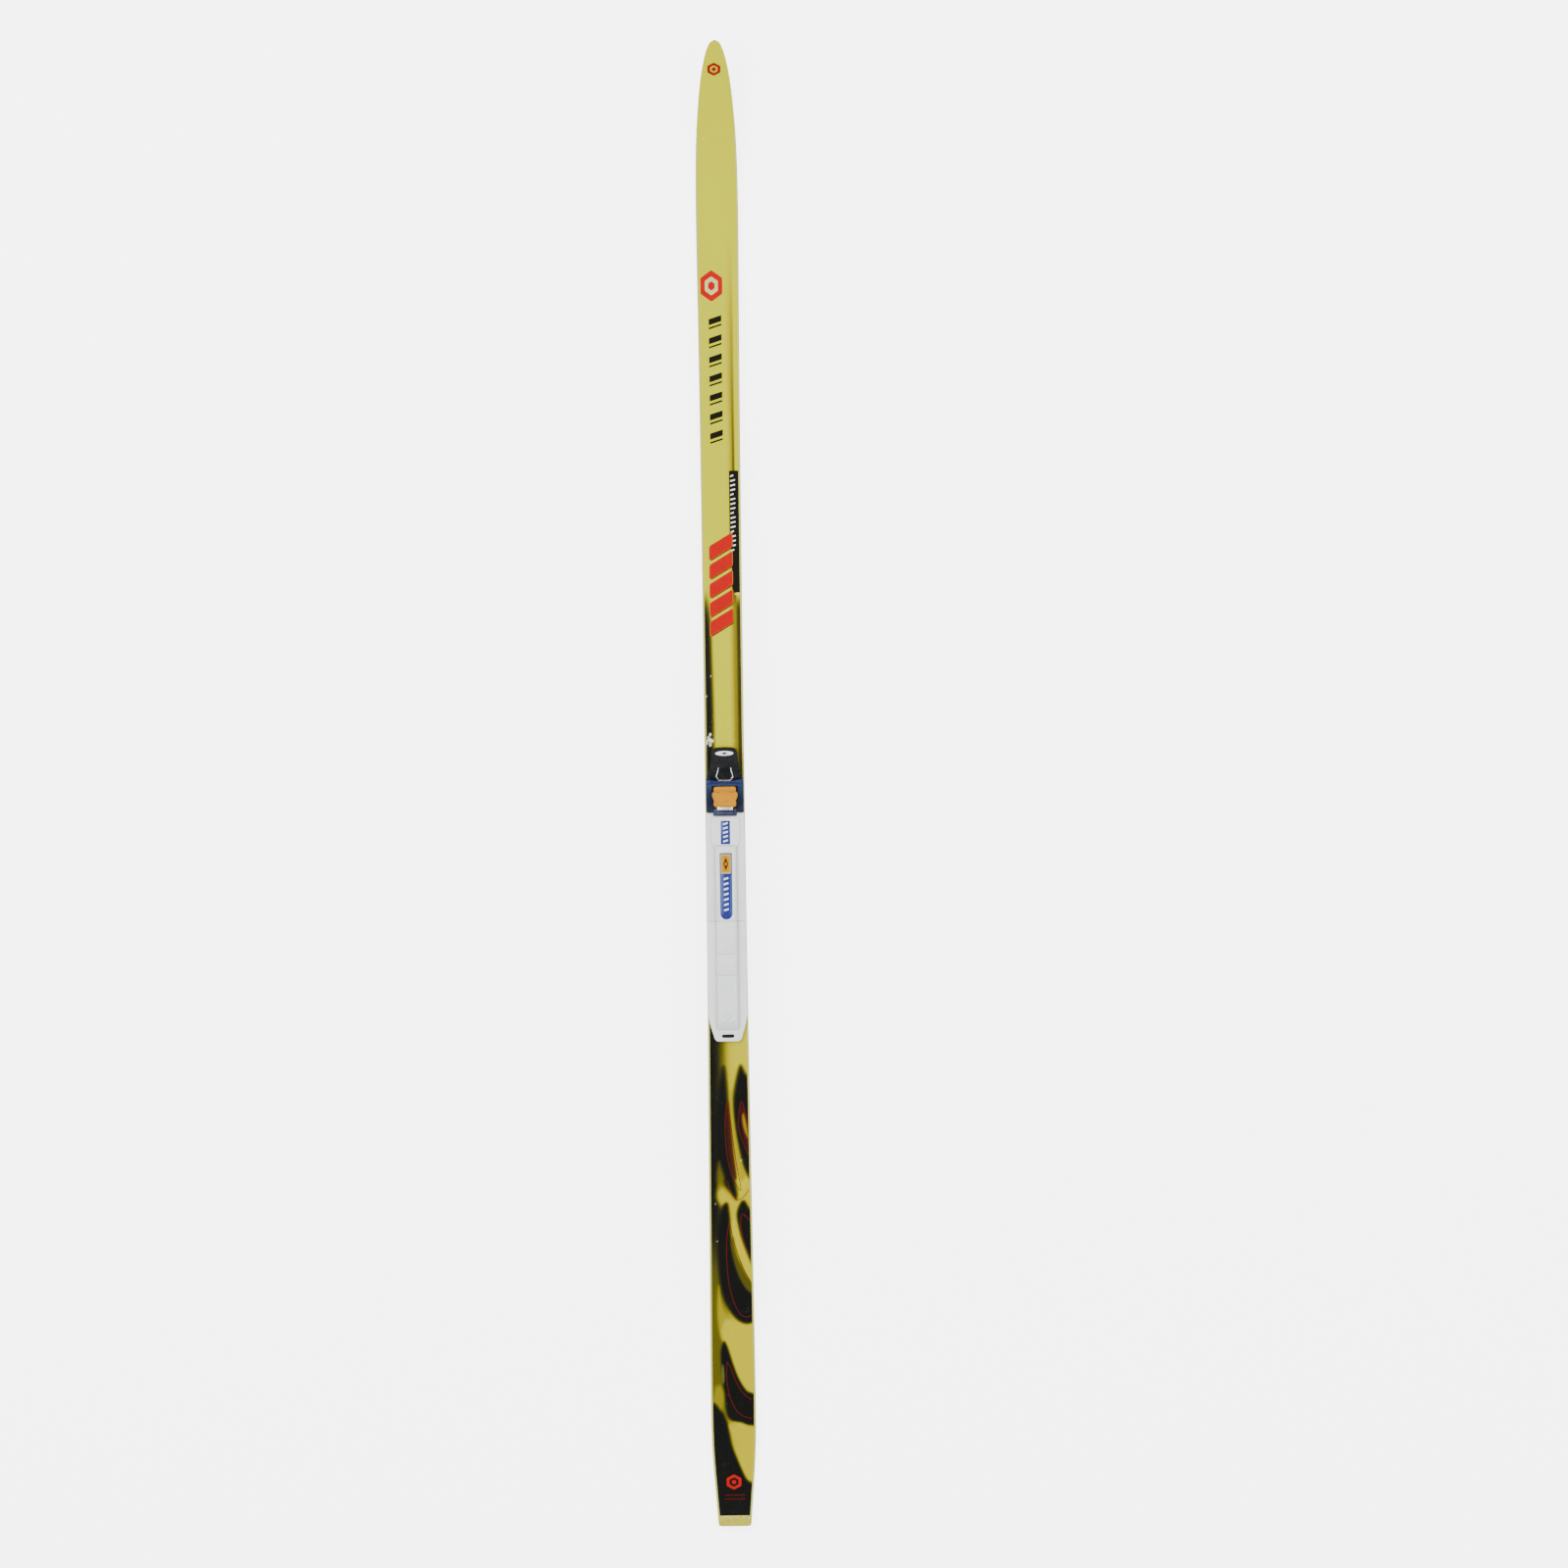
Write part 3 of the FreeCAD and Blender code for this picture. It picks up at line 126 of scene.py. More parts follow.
class Cubic:
    """A cubic spline, with the given (start, end) slopes or with no curvature at its ends."""

    def __init__(self, places, values, slopes=None):
        places, values = np.array(places, float), np.array(values, float)
        count = len(places)
        gaps = np.diff(places)
        rise = np.diff(values) / gaps
        matrix, right = np.zeros((count, count)), np.zeros(count)
        for i in range(1, count - 1):
            matrix[i, i - 1 : i + 2] = gaps[i - 1], 2 * (gaps[i - 1] + gaps[i]), gaps[i]
            right[i] = 6 * (rise[i] - rise[i - 1])
        if slopes:
            matrix[0, :2] = 2 * gaps[0], gaps[0]
            matrix[-1, -2:] = gaps[-1], 2 * gaps[-1]
            right[0], right[-1] = 6 * (rise[0] - slopes[0]), 6 * (slopes[1] - rise[-1])
        else:
            matrix[0, 0] = matrix[-1, -1] = 1.0
        self.places, self.values, self.gaps = places, values, gaps
        self.bends = np.linalg.solve(matrix, right)

    def __call__(self, place):
        place = np.asarray(place, float)
        i = np.clip(np.searchsorted(self.places, place) - 1, 0, len(self.gaps) - 1)
        gap, bends, values = self.gaps[i], self.bends, self.values
        past, left = place - self.places[i], self.places[i + 1] - place
        return (
            (bends[i] * left ** 3 + bends[i + 1] * past ** 3) / (6 * gap)
            + (values[i] / gap - bends[i] * gap / 6) * left
            + (values[i + 1] / gap - bends[i + 1] * gap / 6) * past
        )


# ------------------------------------------------------------------ printed art of the top sheet
OLIVE, DARK_OLIVE, INK = "#a49a1c", "#3d3a0c", "#12130f"

# Soft-edged patches behind the binding, painted in this order:
# colour, half width of the soft edge, strength, outline as (x, y)
PATCHES = [
    # two long dark blades with a warm gleam between them
    (INK, 4.4, 1.0, [
        (-12, -352), (-9.0, -332), (-5.6, -322), (-3.2, -338), (-1.6, -362), (0.6, -400),
        (3.6, -440), (8.6, -476), (0, -466), (-8, -452), (-14, -430), (-16, -395)]),
    (INK, 4.0, 1.0, [
        (4.6, -360), (8, -338), (13, -321), (18, -328), (25, -345), (28, -400), (28, -452),
        (22, -449), (15.4, -436), (9.4, -412), (5.2, -385)]),
    ("#5a2a10", 2.4, 0.85, [
        (-3.4, -372), (-1.0, -362), (1.4, -384), (4.4, -420), (7.4, -448), (3.2, -446),
        (-1.4, -424), (-3.8, -396)]),
    ("#b3a528", 1.8, 0.9, [
        (1.4, -350), (3.0, -356), (4.6, -376), (8.0, -404), (13.2, -432), (17.4, -446),
        (12.4, -452), (7.4, -434), (3.4, -402), (1.2, -372)]),
    ("#6e2a10", 2.2, 0.9, [
        (12.5, -372), (15.5, -368), (19.4, -382), (22.2, -402), (24.5, -424), (19.4, -414),
        (14.4, -394)]),
    ("#b9a92a", 1.8, 0.85, [
        (14.6, -378), (16.6, -376), (19.4, -388), (21.6, -404), (18.0, -398), (15.2, -388)]),
    # yellow break with the olive left side
    ("#cfc23a", 4.5, 1.0, [
        (-12, -456), (-4, -464), (6, -474), (14, -462), (26, -454), (27, -476), (12, -484),
        (0, -490), (-10, -482), (-16, -470)]),
    ("#8c8522", 3.2, 0.8, [(-13, -430), (-10, -436), (-6.5, -450), (-12, -462), (-16, -450)]),
    # a broad dark crescent and a narrower dark blade
    (INK, 3.2, 1.0, [
        (-15.5, -518), (-13.5, -496), (-9.0, -481), (-3.5, -478), (-1.6, -492), (-0.6, -512),
        (2.6, -534), (8.4, -556), (17, -574), (28, -584), (28, -606), (23, -614),
        (15.2, -615.4), (5.5, -610.6), (-4.1, -598), (-9.9, -584.6), (-13.2, -568),
        (-15, -545)]),
    (INK, 3.0, 1.0, [
        (7.0, -492), (10.6, -479), (15, -475), (19, -480), (26, -494), (29, -520), (29, -560),
        (23.5, -548), (17.0, -532), (11.0, -514)]),
    # a slanted yellow blade over its olive shade, between the two
    ("#6f6a15", 2.4, 1.0, [
        (-0.6, -524), (2.6, -516), (6.6, -520), (11.0, -534), (16.0, -550), (22.0, -566),
        (28.0, -576), (28, -584), (18.0, -577), (9.0, -563), (3.0, -545)]),
    ("#d9cd44", 2.6, 1.0, [
        (1.6, -504), (4.6, -498), (8.6, -516), (13.4, -532), (19.0, -547), (27.0, -562),
        (27.5, -570), (19, -562), (11.6, -548), (5.6, -532)]),
    # olive and yellow left of the crescent
    ("#b7ad2e", 2.6, 0.9, [
        (-15.2, -572), (-12.6, -586), (-9.5, -598), (-5.5, -606), (-1, -613), (-4, -634),
        (-13, -632), (-17, -604)]),
    # second yellow break, then a dark wedge
    ("#d6ca3c", 2.8, 1.0, [
        (-12, -622), (-7, -611), (2, -613.5), (12, -620.5), (26, -619), (29, -655), (27, -700),
        (19.5, -696), (10, -684), (3, -668), (-1, -655), (-5, -644), (-10, -636)]),
    (INK, 2.4, 1.0, [
        (-13.5, -650), (-10.5, -637), (-7.6, -638), (-3.6, -650), (0.6, -663), (6.4, -678),
        (15, -692), (27, -701), (28, -735), (10, -729), (-5, -724), (-9.6, -705),
        (-12.0, -680)]),
    ("#a9ae6c", 1.5, 0.7, [
        (-12.6, -664), (-10.6, -663), (-9.6, -674), (-10.4, -684), (-12.4, -680)]),
    # tail
    ("#a9a12a", 3.6, 0.85, [
        (-21, -690), (-15, -686), (-10, -696), (-12.5, -712), (-19, -722), (-24, -710)]),
    ("#d2c637", 3.0, 1.0, [
        (-6, -731), (8, -733), (27, -735), (28, -770), (17, -790), (11.5, -776), (4, -756),
        (-2, -742)]),
    (INK, 2.8, 1.0, [
        (-26, -716), (-14, -716), (-8, -728), (-5.5, -740), (-2, -756), (5, -774), (13, -792),
        (20, -799), (26, -802), (26, -840), (-26, -840)]),
]

# Pale chips in the print: x, y, radius
CHIPS = [
    (-21.6, 741.5, 1.3), (-14.4, 736.0, 0.9), (-12.2, 734.5, 0.8), (-19.5, 100.0, 0.9),
    (-14.0, 123.0, 0.8), (12.6, -429.0, 0.9), (-17.0, -478.0, 0.7), (-16.0, -521.0, 0.7),
]


def srgb(code):
    code = code.lstrip("#")
    return np.array([int(code[i : i + 2], 16) / 255.0 for i in (0, 2, 4)])


def signed_distance(x, y, loop):
    """Distance to a closed polygon, negative inside, and a flat 99 far away from it."""
    low, high = loop.min(0) - 14, loop.max(0) + 14
    near = (x > low[0]) & (x < high[0]) & (y > low[1]) & (y < high[1])
    out = np.full(x.shape, 99.0)
    x, y = x[near], y[near]
    best = np.full(x.shape, 1e9)
    inside = np.zeros(x.shape, bool)
    for (start_x, start_y), (end_x, end_y) in zip(loop, np.roll(loop, -1, axis=0)):
        run_x, run_y = end_x - start_x, end_y - start_y
        square = run_x * run_x + run_y * run_y
        if square < 1e-12:
            continue
        part = np.clip(((x - start_x) * run_x + (y - start_y) * run_y) / square, 0, 1)
        best = np.minimum(best, np.hypot(x - start_x - part * run_x, y - start_y - part * run_y))
        spans = (start_y > y) != (end_y > y)
        inside ^= spans & (x < run_x * (y - start_y) / (run_y + 1e-12) + start_x)
    out[near] = np.where(inside, -best, best)
    return out


class Canvas:
    """sRGB colours at points of the sheet, painted layer over layer."""

    def __init__(self, x, y, colour):
        self.x, self.y = x, y
        self.colours = np.ones_like(x)[:, None] * srgb(colour)

    def over(self, colour, alpha):
        alpha = np.clip(alpha, 0, 1)[:, None]
        self.colours = self.colours * (1 - alpha) + srgb(colour) * alpha

    def patch(self, colour, soft, strength, points):
        distance = signed_distance(self.x, self.y, smooth_curve(points, closed=True))
        self.over(colour, strength * (1 - smoothstep(distance, -soft, soft)))

    def spot(self, colour, strength, centre, radius_x, radius_y, start, end):
        """A round spot that fades from start to end, in radii."""
        away = np.hypot((self.x - centre[0]) / radius_x, (self.y - centre[1]) / radius_y)
        self.over(colour, strength * (1 - smoothstep(away, start, end)))


def paint_ahead(canvas, half):
    """The yellow ground, and the shades ahead of the binding."""
    x, y, over = canvas.x, canvas.y, canvas.over
    ahead = y > -60
    over("#efe765", smoothstep(y, 700, 420))
    over("#f1ea6c", smoothstep(y, 420, 60))
    over("#d8cd3c", smoothstep(y, -150, -330))
    # the tip: slightly greyer towards its rim
    rim = smoothstep(-(half - np.abs(x)), -2.6, -0.2) * smoothstep(y, 700, 780)
    over("#d9d68c", 0.55 * rim)

    # lengthwise shade on the front right
    right = (1 - smoothstep(np.abs(x - 14.6), 0.3, 3.2)) * (x > 14.6)
    left = (1 - smoothstep(13.5 - x, 0.0, 8.5)) * (x <= 14.6)
    over(OLIVE, smoothstep(y, 690, 430) * 0.85 * np.maximum(right, left) * ahead)
    fade = 0.16 * smoothstep(y, 640, 500) + 0.36 * smoothstep(y, 500, 340)
    over(DARK_OLIVE, fade * (1 - smoothstep(np.abs(x - 14.7), 0.2, 2.6)) * ahead)

    # dark left side
    fade = smoothstep(y, 232, 170)
    border = -14.5 + 2.0 * smoothstep(y, 200, 60)
    over(DARK_OLIVE, fade * 0.95 * (1 - smoothstep(x - border, -2.5, 5.5)) * ahead)
    over(INK, fade * 0.95 * (1 - smoothstep(x - border, -5.0, 0.8)) * ahead)
    rim = 1 - smoothstep(np.abs(x + half - 0.6), 0.2, 0.9)
    over("#b9b463", 0.5 * smoothstep(y, 210, 190) * (1 - smoothstep(y, 60, 150)) * rim)
    # olive right side
    fade = smoothstep(y, 222, 195)
    over(OLIVE, fade * 0.95 * smoothstep(x, 9.5, 16.0) * ahead)
    over(DARK_OLIVE, fade * 0.8 * smoothstep(x, 14.5, 18.2) * ahead)


def paint_behind(canvas, half):
    """Behind the binding: a dark left side that fades to yellow, the patches and the tail."""
    x, y, over = canvas.x, canvas.y, canvas.over
    behind = y < -150
    over(OLIVE, behind * (1 - smoothstep(x, -9.0, 9.5)) * 0.8)
    fade = 1 - 0.55 * smoothstep(y, -440, -600)
    over(DARK_OLIVE, behind * (1 - smoothstep(x, -16.0, 1.5)) * fade)
    fade = 1 - smoothstep(y, -480, -560)
    over(INK, behind * (1 - smoothstep(x, -20.5, -9.0)) * fade)
    for patch in PATCHES:
        canvas.patch(*patch)
    over(INK, smoothstep(y, -792, -806) * (np.abs(x) < half + 1))


def paint_wear(canvas):
    """Uneven print, scuffs ahead of the binding and pale chips."""
    x, y = canvas.x, canvas.y
    wave = np.sin(x * 3.1 + np.sin(y * 0.037) * 4) * np.sin(y * 0.113 + x * 0.41)
    wave = wave + np.sin(y * 0.017 + 1.3) * 0.8
    canvas.colours = canvas.colours * (1 + 0.008 * wave[:, None])
    random = np.random.default_rng(7)
    for _ in range(26):
        centre = random.normal(-15.5, 3.2), random.normal(49.5, 5.5)
        if centre[1] < 43.5:
            continue
        canvas.spot("#e9e7dc", 0.9, centre, random.uniform(0.4, 1.5), random.uniform(0.5, 2.4),
                    start=0.6, end=1.2)
    for _ in range(60):
        centre = random.uniform(-17, 12), random.uniform(44, 80)
        canvas.spot("#f1edc0", 0.35, centre, random.uniform(0.5, 2.4), random.uniform(0.2, 0.6),
                    start=0.5, end=1.3)
    for chip_x, chip_y, radius in CHIPS:
        canvas.spot("#eceac2", 0.95, (chip_x, chip_y), 1.0, 1.4,
                    start=0.4 * radius, end=1.2 * radius)


def paint(x, y, half):
    """The print's sRGB colour at each point; half is the sheet's half width there."""
    canvas = Canvas(x, y, "#ece35a")
    paint_ahead(canvas, half)
    paint_behind(canvas, half)
    paint_wear(canvas)
    return np.clip(canvas.colours, 0, 1)


# ------------------------------------------------------------------ the ski's shape
def base_z(y):
    """Height of the base line."""
    y = np.asarray(y, float)
    part = (y - (FRONT_CONTACT + REAR_CONTACT) / 2) / ((FRONT_CONTACT - REAR_CONTACT) / 2)
    return np.where(
        y > FRONT_CONTACT,
        TIP_BEND * (y - FRONT_CONTACT) ** 2,
        np.where(
            y < REAR_CONTACT,
            TAIL_BEND * (y - REAR_CONTACT) ** 2,
            CAMBER * (1 - part * part) ** 2,
        ),
    )


def with_thickness(profile, thickness):
    """Adds (y, thickness) points, taken from the base line, to (y, height) points."""
    return sorted(profile + [(y, float(base_z(y)) + thick) for y, thick in thickness])


FRONT_PROFILE = with_thickness(
    [(FLAT_FRONT, FLAT_LEVEL), (120, 40.0), (220, 35.4), (330, 27.8), (450, 18.8), (560, 11.4)],
    [(630, 7.8), (690, 5.9), (750, 5.3), (800, 5.0), (TIP + OVERRUN, 4.7)],
)
REAR_PROFILE = with_thickness(
    [(FLAT_REAR, FLAT_LEVEL), (-360, 39.9), (-450, 34.8), (-550, 26.4), (-650, 17.6),
     (-730, 11.6)],
    [(-790, 8.2), (TAIL - OVERRUN, 6.9)],
)
FRONT_CURVE = Cubic(
    *zip(*FRONT_PROFILE), slopes=(0.0, 2 * TIP_BEND * (TIP + OVERRUN - FRONT_CONTACT))
)
REAR_CURVE = Cubic(
    *zip(*REAR_PROFILE), slopes=(-2 * TAIL_BEND * (TIP + OVERRUN + REAR_CONTACT), 0.0)
)


def top_z(y):
    """Height of the ski's top."""
    y = np.asarray(y, float)
    rear = np.where(y < FLAT_REAR, REAR_CURVE(np.minimum(y, FLAT_REAR)), FLAT_LEVEL)
    level = np.where(y > FLAT_FRONT, FRONT_CURVE(np.maximum(y, FLAT_FRONT)), rear)
    return level + (TOP - FLAT_LEVEL)


def below_top(depth):
    return lambda y: top_z(y) - depth


def above_base(height):
    return lambda y: base_z(y) + height


# distance back from the tip, half width
WIDTHS = [
    (3.0, 5.3), (7.5, 7.9), (12.0, 9.8), (18.7, 11.8), (29.9, 14.4), (41.0, 16.4),
    (52.3, 17.9), (66.0, 19.4), (85.8, 21.1), (102.6, 22.3), (121.0, 23.2), (153.0, 23.95),
    (190.0, 24.25), (240.0, 24.1), (310.0, 23.6), (399.0, 23.1), (511.0, 22.75), (645.0, 22.55),
    (757.0, 22.5), (903.0, 22.5), (1015.0, 22.7), (1127.0, 23.15), (1233.0, 23.75),
    (1345.0, 24.45), (1457.0, 25.15), (1530.0, 25.55), (1570.0, 25.55), (1596.0, 25.1),
    (1613.0, 24.4), (1630.0, 23.35), (1647.0, 22.1), (1664.0, 20.85), (1680.5, 19.6),
    (1690.0, 18.9),
]


def make_outline():
    """The right-hand edge as a dense polyline from tail to tip: length so far, x, y."""
    points = sorted((TIP - back, width) for back, width in WIDTHS) + [(TIP, 0.0)]
    points = np.array([(width, y) for y, width in points])
    chords = np.sqrt(np.hypot(*(np.diff(points, axis=0).T)))
    knots = np.concatenate([[0], np.cumsum(chords)])
    places = np.linspace(0, knots[-1], 6000)
    x, y = Cubic(knots, points[:, 0])(places), Cubic(knots, points[:, 1])(places)
    return np.concatenate([[0], np.cumsum(np.hypot(np.diff(x), np.diff(y)))]), x, y


OUTLINE_LENGTH, OUTLINE_X, OUTLINE_Y = make_outline()


def half_width(along, inset=0.0):
    """Half width at each y of the outline set in by inset."""
    step_x, step_y = (np.gradient(line, OUTLINE_LENGTH) for line in (OUTLINE_X, OUTLINE_Y))
    size = np.hypot(step_x, step_y)
    x, y = OUTLINE_X - inset * step_y / size, OUTLINE_Y + inset * step_x / size
    keep = x > -0.2
    x, y = x[keep], y[keep]
    # the rounded corner at the tail
    corner_x = x[0] - np.array([3.1, 1.75, 0.75, 0.2])
    corner_y = np.array([TAIL, TAIL + 0.35, TAIL + 1.2, TAIL + 2.4])
    y = y[y > TAIL + 3.9]
    x = np.concatenate([corner_x, x[len(x) - len(y) :]])
    y = np.concatenate([corner_y, y])
    order = np.argsort(y)
    return np.maximum(np.interp(along, y[order], x[order], right=0.0), 0.0)


def sheet_half(along):
    """Half width of the printed sheet: inside the edge strips, and the full ski ahead of them."""
    part = np.clip((np.asarray(along) - WIDENS[0]) / (WIDENS[1] - WIDENS[0]), 0, 1)
    return half_width(along, STRIP_WIDTH + GAP) * (1 - part) + half_width(along, 0.05) * part


def stations(start, stop, step, inset=0.0, extra=()):
    """Values of y along the ski, packed closer towards the round tip."""
    straight = min(stop, TIP_ROUND)
    along = list(np.linspace(start, straight, max(2, int(abs(straight - start) / step) + 1)))
    end = min(stop, TIP - inset)
    if end > TIP_ROUND:
        bend = np.sin(np.linspace(0, math.pi / 2, 46))[1:]
        along += list(TIP_ROUND + (end - TIP_ROUND) * bend)
    along += [y for y in extra if start < y < stop]
    return np.array(sorted(set(round(float(y), 4) for y in along)))


# ------------------------------------------------------------------ mesh helpers
def shade(piece, angle):
    """Smooth shading with sharp edges from the given angle up, in degrees."""
    mesh = piece.data
    mesh.polygons.foreach_set("use_smooth", [True] * len(mesh.polygons))
    edit = bmesh.new()
    edit.from_mesh(mesh)
    for edge in edit.edges:
        joined = len(edge.link_faces) == 2
        edge.smooth = joined and edge.calc_face_angle(0.0) < math.radians(angle)
    edit.to_mesh(mesh)
    edit.free()


def link_new(name, data):
    piece = bpy.data.objects.new(name, data)
    bpy.context.scene.collection.objects.link(piece)
    return piece


def new_piece(name, verts, faces, slot, replaces=None, body="ski", angle=35.0):
    """A cleaned mesh from vertices in mm, joined to a body of the frame."""
    mesh = bpy.data.meshes.new(name)
    mesh.from_pydata([tuple(v) for v in verts * MM], [], [tuple(f) for f in faces])
    mesh.update()
    piece = link_new(name, mesh)
    edit = bmesh.new()
    edit.from_mesh(mesh)
    bmesh.ops.remove_doubles(edit, verts=edit.verts, dist=1e-7)
    bmesh.ops.dissolve_degenerate(edit, dist=1e-7, edges=edit.edges)
    bmesh.ops.recalc_face_normals(edit, faces=edit.faces)
    if edit.calc_volume(signed=True) < 0:
        bmesh.ops.reverse_faces(edit, faces=edit.faces)
    edit.to_mesh(mesh)
    edit.free()
    shade(piece, angle)
    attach(piece, body)
    if replaces:
        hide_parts(replaces)
    return piece


def loft(name, rings, slot, **options):
    """Skins closed rings of equal length, each an (n, 3) array, and caps both ends."""
    count = len(rings[0])
    faces = []
    for i in range(len(rings) - 1):
        here, ahead = i * count, (i + 1) * count
        for j in range(count):
            k = (j + 1) % count
            faces.append((here + j, here + k, ahead + k, ahead + j))
    faces.append(tuple(range(count - 1, -1, -1)))
    faces.append(tuple(range((len(rings) - 1) * count, len(rings) * count)))
    return new_piece(name, np.concatenate(rings), faces, slot, **options)


def section(points, y):
    return np.array([(x, y, z) for x, z in points])


def put(pieces, shader):
    for piece in pieces if isinstance(pieces, list) else [pieces]:
        piece.data.materials.clear()
        piece.data.materials.append(shader.material)


# ------------------------------------------------------------------ material helpers
def vivid(colour):
    """Linear colours made deeper and, when bright, lighter, as the display washes both out."""
    colour = np.asarray(colour, float)
    colour = np.where(colour <= 0.04045, colour / 12.92, ((colour + 0.055) / 1.055) ** 2.4)
    mean = colour.mean(-1, keepdims=True)
    bright = np.clip(mean / 0.42, 0, 1)
    gain = 0.42 + 0.80 * bright * bright * (3 - 2 * bright)
    deep = np.clip((mean + (colour - mean) * 1.45) * gain, 0.0012, 0.96)
    white = np.clip((colour.min(-1, keepdims=True) - 0.30) / 0.35, 0, 1)
    part = 0.77 - 0.21 * bright
    return np.maximum(deep * (part + (1 - part) * white), 0.0012)


def rgba(value):
    """A linear colour from a hex code, a grey level or a ready tuple."""
    if isinstance(value, str):
        return tuple(float(v) for v in vivid(srgb(value))) + (1.0,)
    if isinstance(value, (int, float)):
        return (value, value, value, 1.0)
    return value


def scaled(colour, factor, lift=0.0):
    return tuple(min(1.0, v * factor + lift) for v in rgba(colour)[:3]) + (1.0,)


def is_socket(value):
    return isinstance(value, bpy.types.NodeSocket)


class Shader:
    """A node material around one principled shader."""

    INPUTS = {
        "colour": "Base Color", "rough": "Roughness", "metal": "Metallic",
        "coat": "Coat Weight", "coat_rough": "Coat Roughness", "spec": "Specular IOR Level",
        "subsurface": "Subsurface Weight", "subsurface_scale": "Subsurface Scale",
        "glow": "Emission Strength", "glow_colour": "Emission Color", "normal": "Normal",
    }

    def __init__(self, name):
        self.material = bpy.data.materials.new(name)
        self.material.use_nodes = True
        self.tree = self.material.node_tree
        self.tree.nodes.clear()
        output = self.node("OutputMaterial")
        self.bsdf = self.node("BsdfPrincipled")
        self.feed(output.inputs["Surface"], self.bsdf.outputs["BSDF"])

    def feed(self, socket, value):
        """Links a socket to another, or sets its value."""
        if is_socket(value):
            self.tree.links.new(value, socket)
        else:
            socket.default_value = value

    def node(self, kind, inputs=None):
        node = self.tree.nodes.new("ShaderNode" + kind)
        for key, value in (inputs or {}).items():
            self.feed(node.inputs[key], value)
        return node

    def surface(self, **inputs):
        for name, value in inputs.items():
            self.feed(self.bsdf.inputs[self.INPUTS[name]], value)

    def coords(self, along=1.0, across=1.0):
        """Object coordinates; below 1 stretches the pattern along y or across x."""
        place = self.node("TexCoord").outputs["Object"]
        mapping = self.node("Mapping", {"Scale": (across, along, 1), "Vector": place})
        return mapping.outputs["Vector"]

    def noise(self, vector, scale, detail=4.0, rough=0.55):
        inputs = {"Scale": scale, "Detail": detail, "Roughness": rough, "Vector": vector}
        return self.node("TexNoise", inputs).outputs["Fac"]

    def ramp(self, factor, *stops):
        """A colour ramp with (position, colour) stops."""
        node = self.node("ValToRGB", {"Fac": factor})
        elements = node.color_ramp.elements
        while len(elements) > 1:
            elements.remove(elements[-1])
        elements[0].position, elements[0].color = stops[0][0], rgba(stops[0][1])
        for position, colour in stops[1:]:
            elements.new(position).color = rgba(colour)
        return node.outputs["Color"]

    def mix(self, first, second, factor, mode="MIX"):
        node = self.node("Mix")
        node.data_type = "RGBA"
        node.blend_type = mode
        # the mix node's colour sockets are inputs 6 and 7 and output 2
        for index, value in ((6, first), (7, second)):
            self.feed(node.inputs[index], value if is_socket(value) else rgba(value))
        self.feed(node.inputs[0], factor)
        return node.outputs[2]

    def multiply(self, first, second):
        node = self.node("Math", {0: first, 1: second})
        node.operation = "MULTIPLY"
        return node.outputs[0]

    def darken(self, factor):
        """Multiplies the present base colour."""
        present = self.bsdf.inputs["Base Color"].links[0].from_socket
        self.surface(colour=self.mix(present, factor, 1.0, "MULTIPLY"))

    def bump(self, height, strength, distance, previous=None):
        inputs = {"Strength": strength, "Distance": distance, "Height": height}
        if previous is not None:
            inputs["Normal"] = previous
        normal = self.node("Bump", inputs).outputs["Normal"]
        self.surface(normal=normal)
        return normal


def moulded(name, colour, rough, vary=0.08, edge_wear_and_highlight=None, edge_wear_and_highlight_amount=0.0, coat=0.0, spec=0.5):
    """Moulded plastic: faint mottling, fine grain, varied gloss, and convex edges tinted in
    patches to the given edge colour, partly rubbed wear and partly a painted highlight.
    """
    shader = Shader(name)
    plain = shader.coords()
    base = shader.ramp(
        shader.noise(plain, scale=38.0, detail=3.0),
        (0.3, scaled(colour, 1 - vary)), (0.7, scaled(colour, 1 + vary, lift=0.0006)),
    )
    # convex edges in patches: partly rubbed wear, partly a painted highlight
    if edge_wear_and_highlight:
        pointed = shader.node("NewGeometry").outputs["Pointiness"]
        edges = shader.ramp(pointed, (0.50, 0.0), (0.56, 1.0))
        patch = shader.noise(plain, scale=260.0, detail=5.0, rough=0.65)
        patch = shader.ramp(patch, (0.35, 0.0), (0.7, 1.0))
        amount = shader.multiply(shader.multiply(edges, patch), edge_wear_and_highlight_amount)
        base = shader.mix(base, edge_wear_and_highlight, amount)
    streak = shader.noise(shader.coords(along=0.12), scale=900.0, detail=3.0)
    gloss = shader.ramp(streak, (0.3, rough - 0.07), (0.7, rough + 0.09))
    shader.surface(colour=base, rough=gloss, coat=coat, coat_rough=0.12, spec=spec)
    grain = shader.noise(plain, scale=1.0 / 0.0009, detail=2.0, rough=0.5)
    shader.bump(grain, strength=0.5, distance=0.00003)
    return shader


def metal(name, colour, rough, along=1.0, across=1.0, depth=0.00001, stain=None):
    """Plated or drawn steel with fine lines and slight stains."""
    shader = Shader(name)
    stains = shader.noise(shader.coords(), scale=300.0, detail=4.0)
    base = shader.ramp(stains, (0.35, stain or scaled(colour, 0.82)), (0.62, colour))
    lines = shader.noise(shader.coords(along=along, across=across), scale=2500.0, detail=3.0)
    gloss = shader.ramp(lines, (0.3, rough - 0.08), (0.7, rough + 0.12))
    shader.surface(colour=base, rough=gloss, metal=1.0)
    shader.bump(lines, strength=0.4, distance=depth)
    return shader


